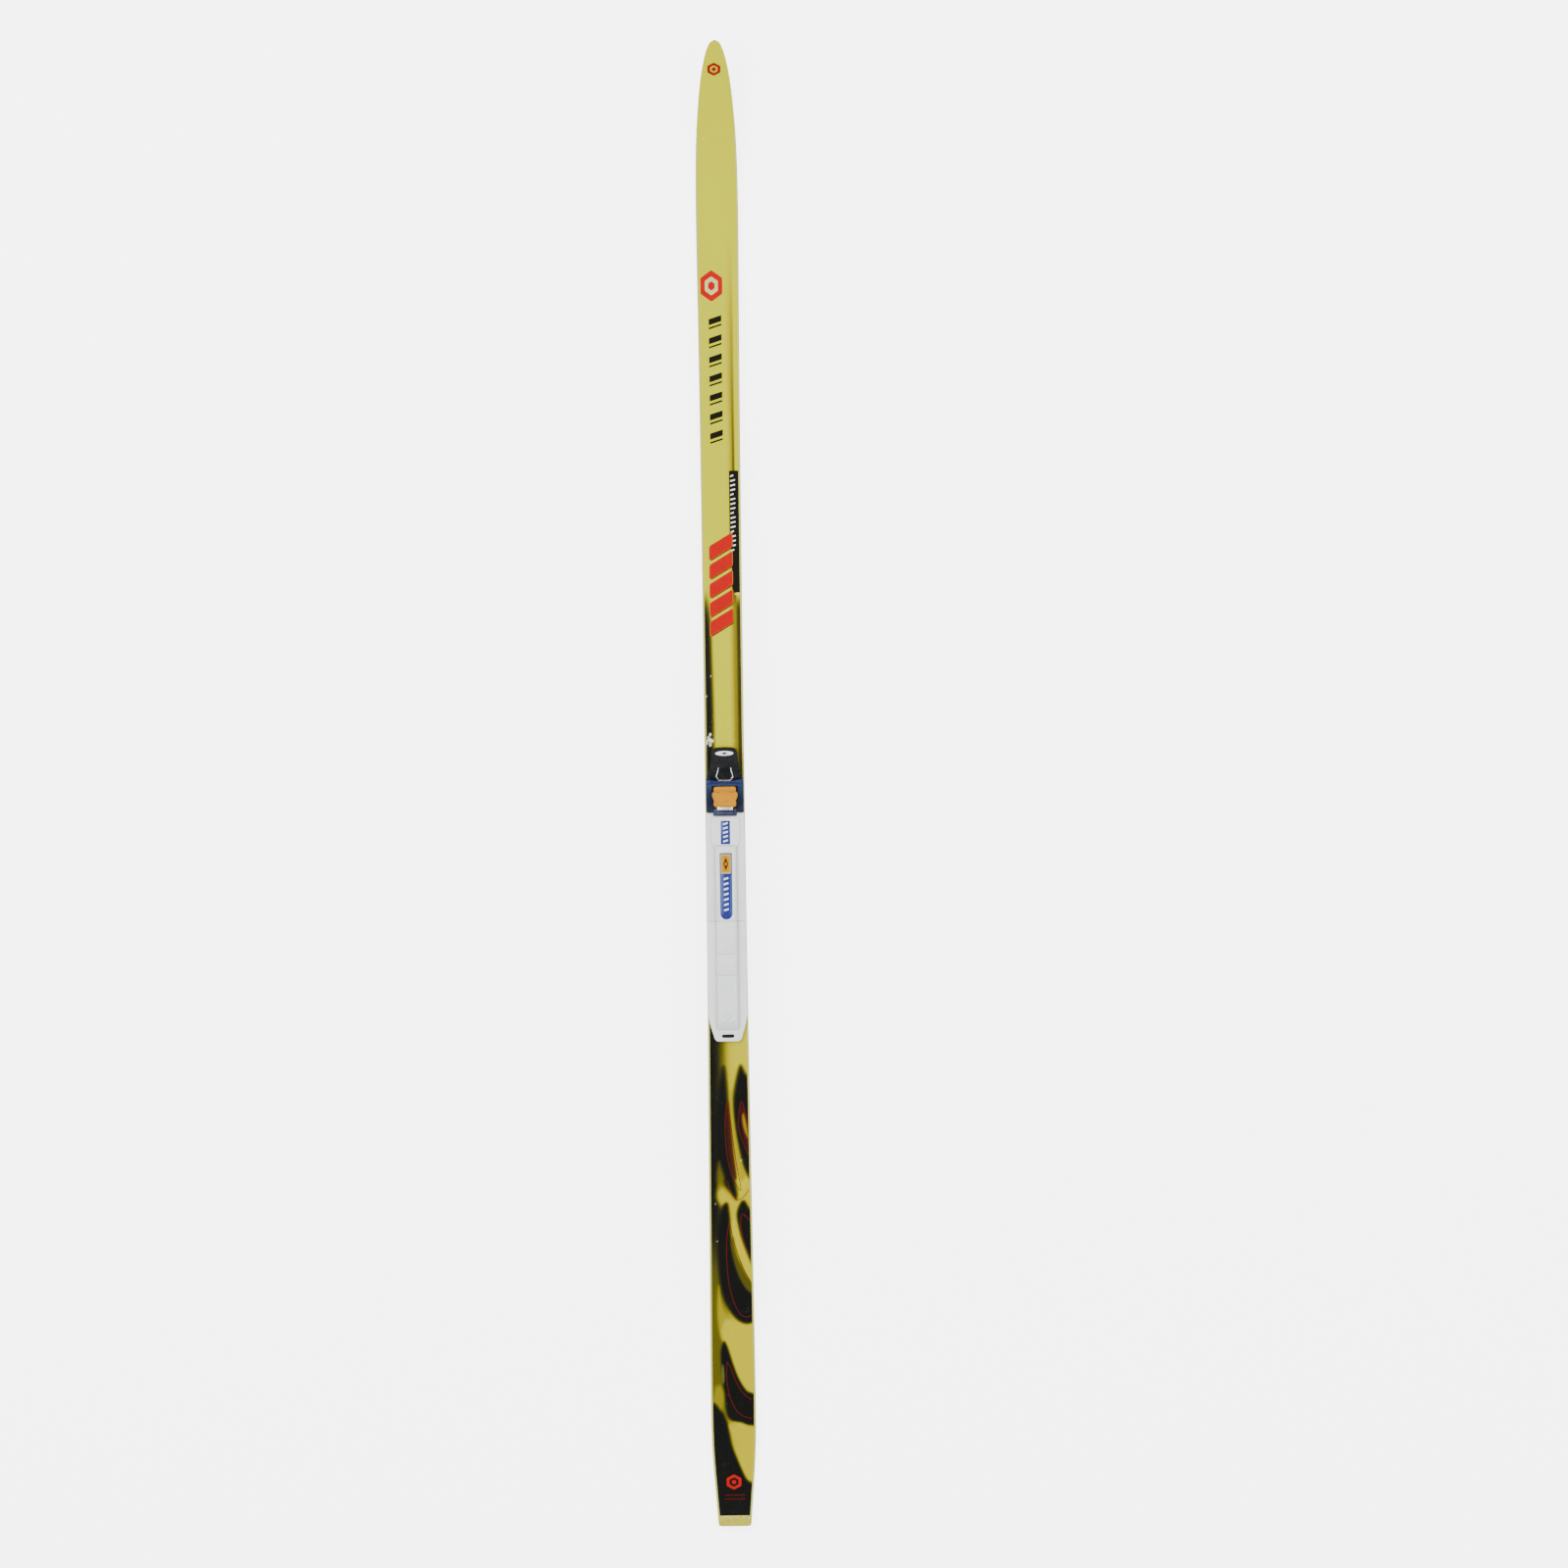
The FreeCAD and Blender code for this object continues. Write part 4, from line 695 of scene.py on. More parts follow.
def print_ink(name, colour, speck=None):
    shader = Shader(name)
    plain = shader.coords()
    base = shader.ramp(
        shader.noise(plain, scale=120.0), (0.3, scaled(colour, 0.94)), (0.7, scaled(colour, 1.06))
    )
    if speck:
        specks = shader.noise(plain, scale=1500.0, detail=2.0)
        base = shader.mix(base, speck, shader.ramp(specks, (0.70, 0.0), (0.76, 1.0)))
    shader.surface(colour=base, rough=0.22, coat=0.08, coat_rough=0.08, spec=0.15)
    shader.bump(shader.noise(plain, scale=1400.0, detail=2.0), strength=0.25, distance=0.00001)
    return shader


# ------------------------------------------------------------------ pieces of the ski
def build_top_sheet():
    """The printed sheet, with the art stored as a colour at each vertex."""
    columns = 47
    along = stations(GUARD + GAP, TIP, 1.12, extra=WIDENS)
    half = sheet_half(along)
    keep = half > 0.02
    along, half = np.append(along[keep], along[keep][-1] + 0.02), np.append(half[keep], 0.0)
    rows = len(along)
    x = half[:, None] * np.linspace(-1, 1, columns)[None, :]
    y = np.repeat(along[:, None], columns, 1)
    drop = np.zeros(columns)
    drop[0] = drop[-1] = SHEET_RIM_DROP
    z = np.repeat(top_z(along)[:, None], columns, 1) - drop[None, :]
    upper = np.stack([x, y, z], -1)
    lower = upper[:, [0, -1]] - np.array([0, 0, SHEET_THICK])
    faces = []
    for i in range(rows - 1):
        here, ahead = i * columns, (i + 1) * columns
        for j in range(columns - 1):
            faces.append((here + j, here + j + 1, ahead + j + 1, ahead + j))
        low, low_ahead = rows * columns + 2 * i, rows * columns + 2 * (i + 1)
        faces.append((here, ahead, low_ahead, low))
        faces.append((here + columns - 1, low + 1, low_ahead + 1, ahead + columns - 1))
        faces.append((low, low_ahead, low_ahead + 1, low + 1))
    faces.append(tuple(range(columns - 1, -1, -1)) + (rows * columns, rows * columns + 1))
    verts = np.concatenate([upper.reshape(-1, 3), lower.reshape(-1, 3)])
    piece = new_piece("top_sheet_print", verts, faces, "top_sheet_print", replaces="top_sheet")

    mesh = piece.data
    places = np.zeros(len(mesh.vertices) * 3)
    mesh.vertices.foreach_get("co", places)
    places = places.reshape(-1, 3) * 1000
    colours = vivid(paint(places[:, 0], places[:, 1], sheet_half(places[:, 1])))
    colours = np.concatenate([colours, np.ones((len(colours), 1))], 1)
    attribute = mesh.color_attributes.new("paint", "FLOAT_COLOR", "POINT")
    attribute.data.foreach_set("color", colours.astype(np.float32).ravel())
    return piece


def side_strips(name, node, slot, start, stop, step, width, high, low, radius):
    """A lengthwise strip on each side, with a rounded outer top edge."""
    pieces = []
    for side, word in SIDES:
        rings = []
        along = stations(start, stop, step)
        columns = along, half_width(along), half_width(along, width), high(along), low(along)
        for y, outer, inner, top, bottom in zip(*columns):
            points = [(inner, bottom), (outer, bottom), (outer, top - radius)]
            for k in range(1, 5):
                turn = k / 5 * math.pi / 2
                points.append((
                    outer - radius + radius * math.cos(turn),
                    top - radius + radius * math.sin(turn),
                ))
            points += [(outer - radius, top), (inner + 0.12, top), (inner, top - 0.12)]
            rings.append(section([(side * x, z) for x, z in points], y))
        pieces.append(
            loft(f"{name}_{word}", rings, slot, replaces=f"{node}_{word}", angle=50.0)
        )
    return pieces


def full_layer(name, node, slot, start, stop, low, high, inset=0.0, width=None, step=4.0):
    """A layer across the whole width, bevelled slightly at its long edges."""
    along = stations(start, stop, step, inset, WIDENS)
    half = width(along) if width else half_width(along, inset)
    if stop >= TIP - 0.01:
        half[-1] = 0.0
    rings = []
    for y, edge, bottom, top in zip(along, half, low(along), high(along)):
        bevel = min(0.12, edge * 0.5)
        rings.append(section([
            (-edge + bevel, bottom), (edge - bevel, bottom), (edge, bottom + bevel),
            (edge, top - bevel), (edge - bevel, top), (-edge + bevel, top),
            (-edge, top - bevel), (-edge, bottom + bevel),
        ], y))
    return loft(name, rings, slot, replaces=node, angle=50.0)


def grip_height(x, y, half):
    """Curved steps of the grip zone, in lengthwise lanes that alternate by half a pitch."""
    lane_width, lane_start = 9.4, 4.2
    out = np.abs(x)
    lane = np.floor((out - lane_start) / lane_width + 0.5)
    part = (out - lane_start - lane * lane_width) / lane_width
    offset = GRIP_PITCH * 0.5 * (lane % 2) + 3.1 * (1 - (2 * part) ** 2)
    step = np.mod((y - GRIP_REAR + offset) / GRIP_PITCH, 1.0)
    fade = np.clip((out - 4.1) / 0.6, 0, 1) * np.clip((half - 2.4 - out) / 0.6, 0, 1)
    ends = np.clip((y - GRIP_REAR) / 3, 0, 1) * np.clip((GRIP_FRONT - y) / 3, 0, 1)
    return GRIP_DEPTH * step * fade * ends


def build_base():
    """The running base: a middle groove, eased edges and the stepped grip zone."""
    along = np.concatenate([
        stations(GUARD + GAP, GRIP_REAR - 2, 5.0),
        np.arange(GRIP_REAR - 1.5, GRIP_FRONT + 1.5, 0.75),
        stations(GRIP_FRONT + 2, TIP, 4.0),
    ])
    half = half_width(along)
    half[-1] = 0.0
    fade = np.clip((along - (GUARD + 12)) / 10, 0, 1)
    depth = 0.8 * fade * np.clip((650 - along) / 16, 0, 1)
    # the groove's section: places as parts of its half width, heights as parts of its depth
    groove_places = np.array([-0.93, -0.72, -0.35, 0.0, 0.35, 0.72, 0.93])
    groove_heights = np.array([0.62, 0.93, 1.0, 1.0, 1.0, 0.93, 0.62])
    side_count = 17
    rings = []
    for y, edge, bottom, deep in zip(along, half, base_z(along), depth):
        groove = min(3.5, edge * 0.45)
        left = -edge + (edge - groove) * np.linspace(0, 1, side_count)
        x = np.concatenate([left, groove_places * groove, -left[::-1]])
        flat_side = np.zeros(side_count)
        z = np.concatenate([flat_side, groove_heights * deep, flat_side])
        z[0] = z[-1] = 0.22 if edge > 3 else 0.0
        if GRIP_REAR - 1 < y < GRIP_FRONT + 1:
            z += grip_height(x, y, edge)
        upper = [(-edge, y, bottom + BASE_THICK), (edge, y, bottom + BASE_THICK)]
        rings.append(np.concatenate([np.stack([x, np.full(len(x), y), bottom + z], -1), upper]))
    count = len(rings[0])
    last, up_left, up_right = count - 3, count - 2, count - 1
    faces = []
    for i in range(len(along) - 1):
        here, ahead = i * count, (i + 1) * count
        for j in range(last):
            faces.append((here + j, ahead + j, ahead + j + 1, here + j + 1))
        faces.append((here + last, ahead + last, ahead + up_right, here + up_right))
        faces.append((here + up_right, ahead + up_right, ahead + up_left, here + up_left))
        faces.append((here + up_left, ahead + up_left, ahead, here))
    faces.append(tuple(range(count - 2)) + (up_right, up_left))
    return new_piece("running_base_structured", np.concatenate(rings), faces, "base_plastic",
                     replaces="running_base", angle=24.0)


def build_guard():
    """The tail guard, with rounded section corners and a rounded rear end."""
    # y, how far the section shrinks there
    rows = [
        (TAIL, 1.5), (TAIL + 0.15, 0.95), (TAIL + 0.5, 0.5), (TAIL + 1.1, 0.2),
        (TAIL + 2.0, 0.06), (TAIL + 3.2, 0), (TAIL + 5, 0), (TAIL + 8, 0),
        (GUARD - 0.3, 0), (GUARD, 0.2),
    ]
    rings = []
    for (y, shrink), half in zip(rows, half_width(np.array([y for y, _ in rows]))):
        low, high = float(base_z(y)) + shrink * 0.7, float(top_z(y)) - shrink
        edge = half - shrink * 0.3
        radius = min(1.0, (high - low) * 0.3)
        right, top, bottom = edge - radius, high - radius, low + radius
        points = []
        for x, z, start in (
            (right, top, 0.0), (-right, top, 0.5), (-right, bottom, 1.0), (right, bottom, 1.5)
        ):
            for k in range(5):
                turn = (start + k / 8) * math.pi
                points.append((x + radius * math.cos(turn), z + radius * math.sin(turn)))
        rings.append(section(points, y))
    return loft("tail_guard_moulded", rings, "tail_plastic", replaces="tail_guard", angle=45.0)


sheet = build_top_sheet()
strips = side_strips(
    "top_edge_strip", "top_edge", "edge_plastic", GUARD + GAP, STRIP_FRONT, step=3.0,
    width=STRIP_WIDTH, high=top_z, low=below_top(LAMINATE_UNDER), radius=0.5,
)
laminates = [
    full_layer(
        "laminate_upper", "upper_laminate", "fibre_laminate", GUARD + GAP, TIP,
        below_top(LAMINATE_UNDER), below_top(LAMINATE_TOP), width=lambda y: sheet_half(y) - 0.03,
    ),
    full_layer(
        "laminate_lower", "lower_laminate", "fibre_laminate", GUARD + GAP, TIP,
        above_base(LOWER_BOTTOM), above_base(LOWER_TOP), inset=0.03,
    ),
]
walls = side_strips(
    "sidewall_moulded", "sidewall", "sidewall_plastic", WALL_REAR + GAP, WALL_FRONT - GAP,
    step=4.0, width=WALL_WIDTH, high=below_top(CORE_TOP), low=above_base(CORE_BOTTOM),
    radius=0.12,
)
fillers = [
    full_layer(
        name + "_moulded", name, "filler_plastic", start, stop,
        above_base(CORE_BOTTOM), below_top(CORE_TOP), step=step,
    )
    for name, start, stop, step in (
        ("tip_filler", WALL_FRONT + GAP, TIP, 3.0),
        ("tail_filler", GUARD + GAP, WALL_REAR - GAP, 4.0),
    )
]
running_base = build_base()
tail_guard = build_guard()


# ------------------------------------------------------------------ materials of the ski
def sheet_material():
    shader = Shader("printed_top_sheet")
    art = shader.node("VertexColor")
    art.layer_name = "paint"
    plain = shader.coords()
    broad = shader.noise(shader.coords(along=0.25), scale=30.0)
    broad = shader.ramp(broad, (0.3, 0.955), (0.7, 1.0))
    base = shader.mix(art.outputs["Color"], broad, 1.0, "MULTIPLY")
    # hairline scratches along the ski, in patches
    hair = shader.noise(shader.coords(along=0.02), scale=2600.0, detail=2.0, rough=0.4)
    hair = shader.ramp(hair, (0.715, 0.0), (0.74, 1.0))
    where = shader.ramp(shader.noise(plain, scale=22.0, detail=3.0), (0.48, 0.0), (0.72, 1.0))
    scratch = shader.mix(hair, where, 1.0, "MULTIPLY")
    faint = shader.mix(0.0, scratch, 0.28)
    gloss = shader.noise(shader.coords(along=0.3), scale=60.0, detail=5.0, rough=0.6)
    gloss = shader.ramp(gloss, (0.3, 0.22), (0.72, 0.38))
    shader.surface(
        colour=shader.mix(base, "#f4f0c4", faint), rough=shader.mix(gloss, 0.6, faint),
        coat=0.06, coat_rough=0.10, spec=0.13,
    )
    fine = shader.noise(plain, scale=700.0, detail=2.0)
    fine = shader.bump(fine, strength=0.25, distance=0.00002)
    shader.bump(scratch, strength=0.35, distance=-0.00002, previous=fine)
    return shader


def strip_material():
    shader = Shader("pale_edge_strip")
    broad = shader.noise(shader.coords(along=0.15), scale=60.0)
    base = shader.ramp(broad, (0.3, "#dedb8c"), (0.7, "#ebe998"))
    nick = shader.noise(shader.coords(along=0.5), scale=420.0, detail=5.0, rough=0.7)
    base = shader.mix(base, "#a8a68c", shader.ramp(nick, (0.66, 0.0), (0.72, 0.7)))
    gloss = shader.noise(shader.coords(along=0.05), scale=1500.0, detail=3.0)
    shader.surface(
        colour=base, rough=shader.ramp(gloss, (0.3, 0.3), (0.7, 0.5)),
        coat=0.05, subsurface=0.05, subsurface_scale=0.002, spec=0.25,
    )
    lines = shader.noise(shader.coords(along=0.08), scale=1800.0, detail=3.0)
    shader.bump(lines, strength=0.5, distance=0.00003)
    return shader


def base_material():
    shader = Shader("structured_base")
    grind = shader.noise(shader.coords(along=0.012), scale=3800.0, detail=3.0, rough=0.6)
    haze = shader.noise(shader.coords(along=0.2), scale=45.0, detail=5.0, rough=0.6)
    shader.surface(
        colour=shader.ramp(haze, (0.3, "#26282b"), (0.62, "#35373b"), (0.82, "#4c4e52")),
        rough=shader.ramp(grind, (0.3, 0.34), (0.7, 0.56)),
    )
    shader.bump(grind, strength=0.7, distance=0.00004)
    return shader


def wall_material():
    shader = Shader("satin_sidewall")
    lines = shader.noise(shader.coords(along=0.01), scale=2400.0, detail=3.0)
    broad = shader.noise(shader.coords(along=0.08), scale=50.0)
    base = shader.ramp(broad, (0.3, "#d6d27c"), (0.7, "#e6e393"))
    scuff = shader.noise(shader.coords(along=0.06), scale=900.0, detail=5.0, rough=0.7)
    base = shader.mix(base, "#8f8c5e", shader.ramp(scuff, (0.66, 0.0), (0.74, 0.5)))
    shader.surface(colour=base, rough=shader.ramp(lines, (0.3, 0.38), (0.7, 0.58)))
    shader.bump(lines, strength=0.5, distance=0.00003)
    return shader


def laminate_material():
    shader = Shader("glass_laminate")
    drawn = shader.coords(along=0.02)
    fibres = shader.noise(drawn, scale=3500.0, detail=3.0)
    shader.surface(colour=shader.ramp(fibres, (0.35, "#8d8a52"), (0.65, "#bdb978")), rough=0.4)
    relief = shader.noise(drawn, scale=3500.0, detail=3.0)
    shader.bump(relief, strength=0.4, distance=0.00002)
    return shader


def wood_material():
    shader = Shader("core_wood")
    drawn = shader.coords(along=0.02)
    wave = shader.node("TexWave", {"Scale": 240.0, "Distortion": 4.0, "Vector": drawn})
    grain = wave.outputs["Fac"]
    shader.surface(colour=shader.ramp(grain, (0.0, "#b98b52"), (1.0, "#dcb981")), rough=0.6)
    shader.bump(grain, strength=0.3, distance=0.00004)
    return shader


put(sheet, sheet_material())
put(strips, strip_material())
put(walls, wall_material())
put(laminates, laminate_material())
put(fillers, moulded("filler_plastic", "#cfcb88", rough=0.42, edge_wear_and_highlight="#8f8c5e", edge_wear_and_highlight_amount=0.2))
put(running_base, base_material())
put(tail_guard, moulded("tail_guard_plastic", "#c9c236", rough=0.34, coat=0.05, spec=0.25,
                        edge_wear_and_highlight="#f1edc0", edge_wear_and_highlight_amount=0.5))
put(NODES["wood_core"], wood_material())
put(NODES["screw_plate"], moulded("screw_plate_laminate", "#4a4d46", rough=0.5))


# ------------------------------------------------------------------ raised prints
def decal(name, loop, shader, lift=0.03, body="ski", height=top_z,
          slices=5.0, thick=0.07):
    """A thin closed print that follows the surface under it, cut every slices mm along y."""
    loop = np.array(loop, float)
    mesh = bpy.data.meshes.new(name)
    edit = bmesh.new()
    outline = edit.faces.new([edit.verts.new((x, y, 0)) for x, y in loop])
    bmesh.ops.triangulate(edit, faces=[outline])
    low, high = loop[:, 1].min(), loop[:, 1].max()
    for y in np.arange(math.floor(low / slices) * slices, high + slices, slices)[1:]:
        if low < y < high:
            bmesh.ops.bisect_plane(
                edit, geom=edit.verts[:] + edit.edges[:] + edit.faces[:],
                plane_co=(0, y, 0), plane_no=(0, 1, 0), dist=1e-5,
            )
    bmesh.ops.remove_doubles(edit, verts=edit.verts, dist=1e-4)
    top_faces = edit.faces[:]
    for vert in edit.verts:
        vert.co.z = float(height(vert.co.y)) + lift
    extruded = bmesh.ops.extrude_face_region(edit, geom=top_faces)
    for vert in extruded["geom"]:
        if isinstance(vert, bmesh.types.BMVert):
            vert.co.z -= thick
    bmesh.ops.recalc_face_normals(edit, faces=edit.faces)
    for vert in edit.verts:
        vert.co *= MM
    edit.to_mesh(mesh)
    edit.free()
    piece = link_new(name, mesh)
    shade(piece, 40.0)
    put(piece, shader)
    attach(piece, body)


def line(name, points, width, shader, lift):
    """A printed line of the given width through the points."""
    points = np.array(points, float)
    run = np.gradient(points, axis=0)
    run /= np.maximum(np.hypot(run[:, 0], run[:, 1]), 1e-9)[:, None]
    aside = np.stack([-run[:, 1], run[:, 0]], -1) * width / 2
    rings = []
    for left, right in zip(points + aside, points - aside):
        left_z, right_z = top_z(left[1]) + lift, top_z(right[1]) + lift
        rings.append(np.array([
            (*left, left_z - 0.07), (*left, left_z), (*right, right_z), (*right, right_z - 0.07),
        ]))
    put(loft(name, rings, "top_sheet_print"), shader)


def rounded(loop, radius, steps=4):
    """Rounds the corners of a polygon."""
    points = np.array(loop, float)
    out = []
    for i, corner in enumerate(points):
        back, ahead = points[i - 1] - corner, points[(i + 1) % len(points)] - corner
        back_length, ahead_length = np.hypot(*back), np.hypot(*ahead)
        cut = min(radius, 0.45 * back_length, 0.45 * ahead_length)
        start, end = corner + back / back_length * cut, corner + ahead / ahead_length * cut
        for j in range(steps + 1):
            part = j / steps
            out.append(
                (1 - part) ** 2 * start + 2 * part * (1 - part) * corner + part * part * end
            )
    return out


INK_RED = print_ink("print_red", "#d2100a")
INK_DEEP = print_ink("print_deep_red", "#7d0f0a")
INK_PALE = print_ink("print_pale", "#f0e9a4")
INK_BLACK = print_ink("print_black", "#1d190a", speck="#3a3520")
INK_WHITE = print_ink("print_white", "#e9e9dc")
INK_PEACH = print_ink("print_peach", "#ef9c62")
INK_LINE = print_ink("print_outline_red", "#8f1a0e")
INK_RUST = print_ink("print_rust", "#a8330c")
INK_AMBER = print_ink("print_amber", "#e9b640")


def emblem(prefix, centre, radius_x, radius_y, main, ring):
    """Three hexagons over each other, each smaller than the last."""
    for word, size, corner, shader, lift in (
        ("plate", 1.0, 0.12, main, 0.03), ("ring", 0.60, 0.08, ring, 0.05),
        ("core", 0.30, 0.05, main, 0.07),
    ):
        hexagon = []
        for i in range(6):
            turn = 2 * math.pi * i / 6
            hexagon.append((
                centre[0] + radius_x * size * math.sin(turn),
                centre[1] + radius_y * size * math.cos(turn),
            ))
        decal(f"{prefix}_{word}", rounded(hexagon, corner * radius_x), shader, lift)


def front_bars():
    """Slanted bars down the front, one thick and one thin in turn."""
    left, right = -11.2, 3.3
    for i in range(7):
        y = 532.0 - i * 21.8
        bar = [(left, y - 8.6), (right, y - 4.0), (right, y + 3.0), (left, y - 1.6)]
        slash = [(left, y - 13.4), (right, y - 8.8), (right, y - 6.7), (left, y - 11.3)]
        decal(f"front_bar_{i}", rounded(bar, 0.9), INK_BLACK)
        decal(f"front_slash_{i}", rounded(slash, 0.6), INK_BLACK)


def dark_band():
    """A dark band down the right side, with small pale ticks and a pale foot."""
    right = float(sheet_half(np.array([300.0]))[0]) - 0.15
    band = [(9.6, 357.0), (right, 357.0), (right, 218.0), (11.6, 218.0), (11.6, 262.0),
            (9.6, 284.0)]
    decal("band_dark", band, INK_BLACK)
    for i in range(17):
        y = 352.5 - i * 5.3
        start, end = 10.9, 16.3 if i % 4 else 14.4
        tick = [(start, y - 2.9), (start, y - 1.3), (end, y), (end, y - 1.6)]
        decal(f"band_tick_{i}", rounded(tick, 0.25, 3), INK_WHITE, 0.055)
    foot = [(14.6, 217.2), (right, 217.2), (right, 215.2), (14.6, 215.2)]
    decal("band_foot", rounded(foot, 0.3), INK_PALE)


def bold_stripes():
    """Bold slanted stripes with a pale rim and a dark shadow."""
    left, right = -13.9, 12.0
    for i in range(5):
        y = 168.5 + i * 21.6
        stripe = [(left, y), (right, y + 15.5), (right, y + 31.5), (left, y + 16.0)]
        stripe = np.array(rounded(stripe, 2.6, 6))
        centre = stripe.mean(0)
        decal(f"stripe_{i}_shadow", stripe + np.array([1.0, -1.3]), INK_DEEP, 0.060)
        decal(f"stripe_{i}_rim", centre + (stripe - centre) * 1.045, INK_PEACH, 0.075)
        decal(f"stripe_{i}", stripe, INK_RED, 0.095)


# thin red lines over the dark shapes behind the binding, as (x, y)
OUTLINES = [
    [(-5.0, -396), (-4.6, -380), (-2.4, -362), (0.4, -378), (3.6, -404), (7.6, -434),
     (12.0, -462), (6.4, -456), (0.6, -442), (-3.6, -420), (-5.0, -396)],
    [(9.6, -388), (11.8, -370), (14.6, -362), (18.4, -376), (21.0, -392)],
    [(21.0, -424), (17.2, -414), (12.4, -400), (9.6, -388)],
    [(-3.2, -452), (1.0, -466), (7.6, -474), (15.4, -470), (21.0, -462)],
    [(-5.4, -540), (-4.8, -518), (-1.6, -500), (1.8, -516), (6.8, -534), (13.4, -552),
     (21.0, -568)],
    [(-5.4, -540), (-3.6, -566), (1.2, -588), (8.2, -603), (15.4, -608), (21.8, -606)],
    [(21.0, -538), (16.4, -527), (12.4, -512), (11.2, -497), (14.6, -490), (21.2, -498)],
    [(-6.6, -659), (-3.0, -665), (2.6, -680), (10.6, -694), (21.0, -703)],
    [(-6.6, -659), (-7.2, -676), (-4.6, -696), (1.6, -712), (10.6, -721), (21.0, -724)],
]

emblem("tip_emblem", (-1.2, 814.0), 8.6, 7.4, main=INK_RUST, ring=INK_AMBER)
emblem("front_emblem", (-7.6, 568.5), 14.4, 18.2, main=INK_RED, ring=INK_PALE)
emblem("tail_emblem", (-0.6, -796.6), 9.8, 8.8, main=INK_RED, ring=INK_BLACK)
front_bars()
dark_band()
bold_stripes()
for i, points in enumerate(OUTLINES):
    # slightly different lifts keep crossing lines apart
    line(f"outline_{i}", smooth_curve(points), 0.75, INK_LINE, lift=0.03 + 0.004 * (i % 3))
for i, y in enumerate((-811.5, -816.0)):
    rule = [(x, y) for x in np.linspace(-11.0, 12.0, 5)]
    line(f"tail_rule_{i}", rule, 0.8, INK_LINE, lift=0.03)


# ------------------------------------------------------------------ materials of the binding
def paint_rear_shade(shader, dark_y, light_y, least):
    """Painted shade: darkens the moulding towards the heel; places in metres."""
    place = shader.node("TexCoord").outputs["Object"]
    split = shader.node("SeparateXYZ", {0: place})
    part = shader.node("MapRange", {
        "From Min": dark_y, "From Max": light_y, "To Min": least, "To Max": 1.0,
        "Value": split.outputs["Y"],
    })
    part.interpolation_type = "SMOOTHSTEP"
    shader.darken(part.outputs["Result"])


def paint_seam_shade(shader, reach, least):
    """Painted shade in grooves and inside corners, darkened by ambient occlusion."""
    hidden = shader.node("AmbientOcclusion", {"Distance": reach * MM})
    hidden.samples = 6
    shader.darken(shader.ramp(hidden.outputs["AO"], (0.42, least), (0.92, 1.0)))


def flexor_material():
    shader = Shader("orange_elastomer")
    plain = shader.coords()
    mottle = shader.noise(plain, scale=110.0, rough=0.6)
    base = shader.ramp(mottle, (0.28, "#e08c10"), (0.5, "#f0a012"), (0.75, "#f5ae24"))
    # painted shade: concave creases and hollows darkened towards dark amber
    pointed = shader.node("NewGeometry").outputs["Pointiness"]
    base = shader.mix(base, "#8a4a0a", shader.ramp(pointed, (0.42, 1.0), (0.5, 0.0)))
    gloss = shader.ramp(shader.noise(plain, scale=400.0), (0.3, 0.42), (0.7, 0.62))
    shader.surface(colour=base, rough=gloss, subsurface=0.08, subsurface_scale=0.003, spec=0.18)
    shader.bump(shader.noise(plain, scale=900.0), strength=0.5, distance=0.00005)
    return shader


NAVY = moulded("navy_moulding", "#26386c", rough=0.38, edge_wear_and_highlight="#7f8db8", edge_wear_and_highlight_amount=0.35,
               vary=0.07, spec=0.28)
# painted shade on the navy housing towards its rear
paint_rear_shade(NAVY, dark_y=-0.026, light_y=0.002, least=0.42)
BLACK = moulded("black_moulding", "#151618", rough=0.42, edge_wear_and_highlight="#55585d", edge_wear_and_highlight_amount=0.3,
                vary=0.05, spec=0.13)
SLATE = moulded("slate_moulding", "#4d5875", rough=0.40, edge_wear_and_highlight="#aab0c4", edge_wear_and_highlight_amount=0.15,
                vary=0.04, spec=0.3)
DARK_BASE = moulded("base_moulding", "#1e2433", rough=0.5, edge_wear_and_highlight="#6c7488", edge_wear_and_highlight_amount=0.3,
                    spec=0.25)
WHITE = moulded("white_moulding", "#e3e4e9", rough=0.34, vary=0.03, edge_wear_and_highlight="#b9bac0",
                edge_wear_and_highlight_amount=0.25, coat=0.1)
# painted shade in the seams of the white and navy mouldings
paint_seam_shade(WHITE, reach=3.4, least=0.22)
paint_seam_shade(NAVY, reach=1.6, least=0.55)
BLUE = moulded("blue_inlay", "#2446a0", rough=0.26, coat=0.2, vary=0.03)
LIGHT_BLUE = moulded("light_blue_inlay", "#5c74b8", rough=0.26, coat=0.4)
ORANGE_PRINT = print_ink("print_orange", "#f0a640")
AMBER_PRINT = print_ink("print_dark_amber", "#6d3f06")
PEACH_PRINT = print_ink("print_light_peach", "#f6cf9c")
ICE_PRINT = print_ink("print_ice", "#dbe6fb")
STEEL = metal("plated_steel", "#e4deda", rough=0.34, across=0.4, depth=0.000002,
              stain="#d3c8c2")
SPRING_WIRE = metal("spring_wire", "#9a9ca0", rough=0.3)
BRIGHT = metal("bright_wire", "#c9cacf", rough=0.22, along=0.1)
ZINC = metal("zinc_screw", "#b7b8b4", rough=0.3)
FLEXOR = flexor_material()
BADGE = moulded("badge_plastic", "#d9d9e2", rough=0.25, coat=0.4)


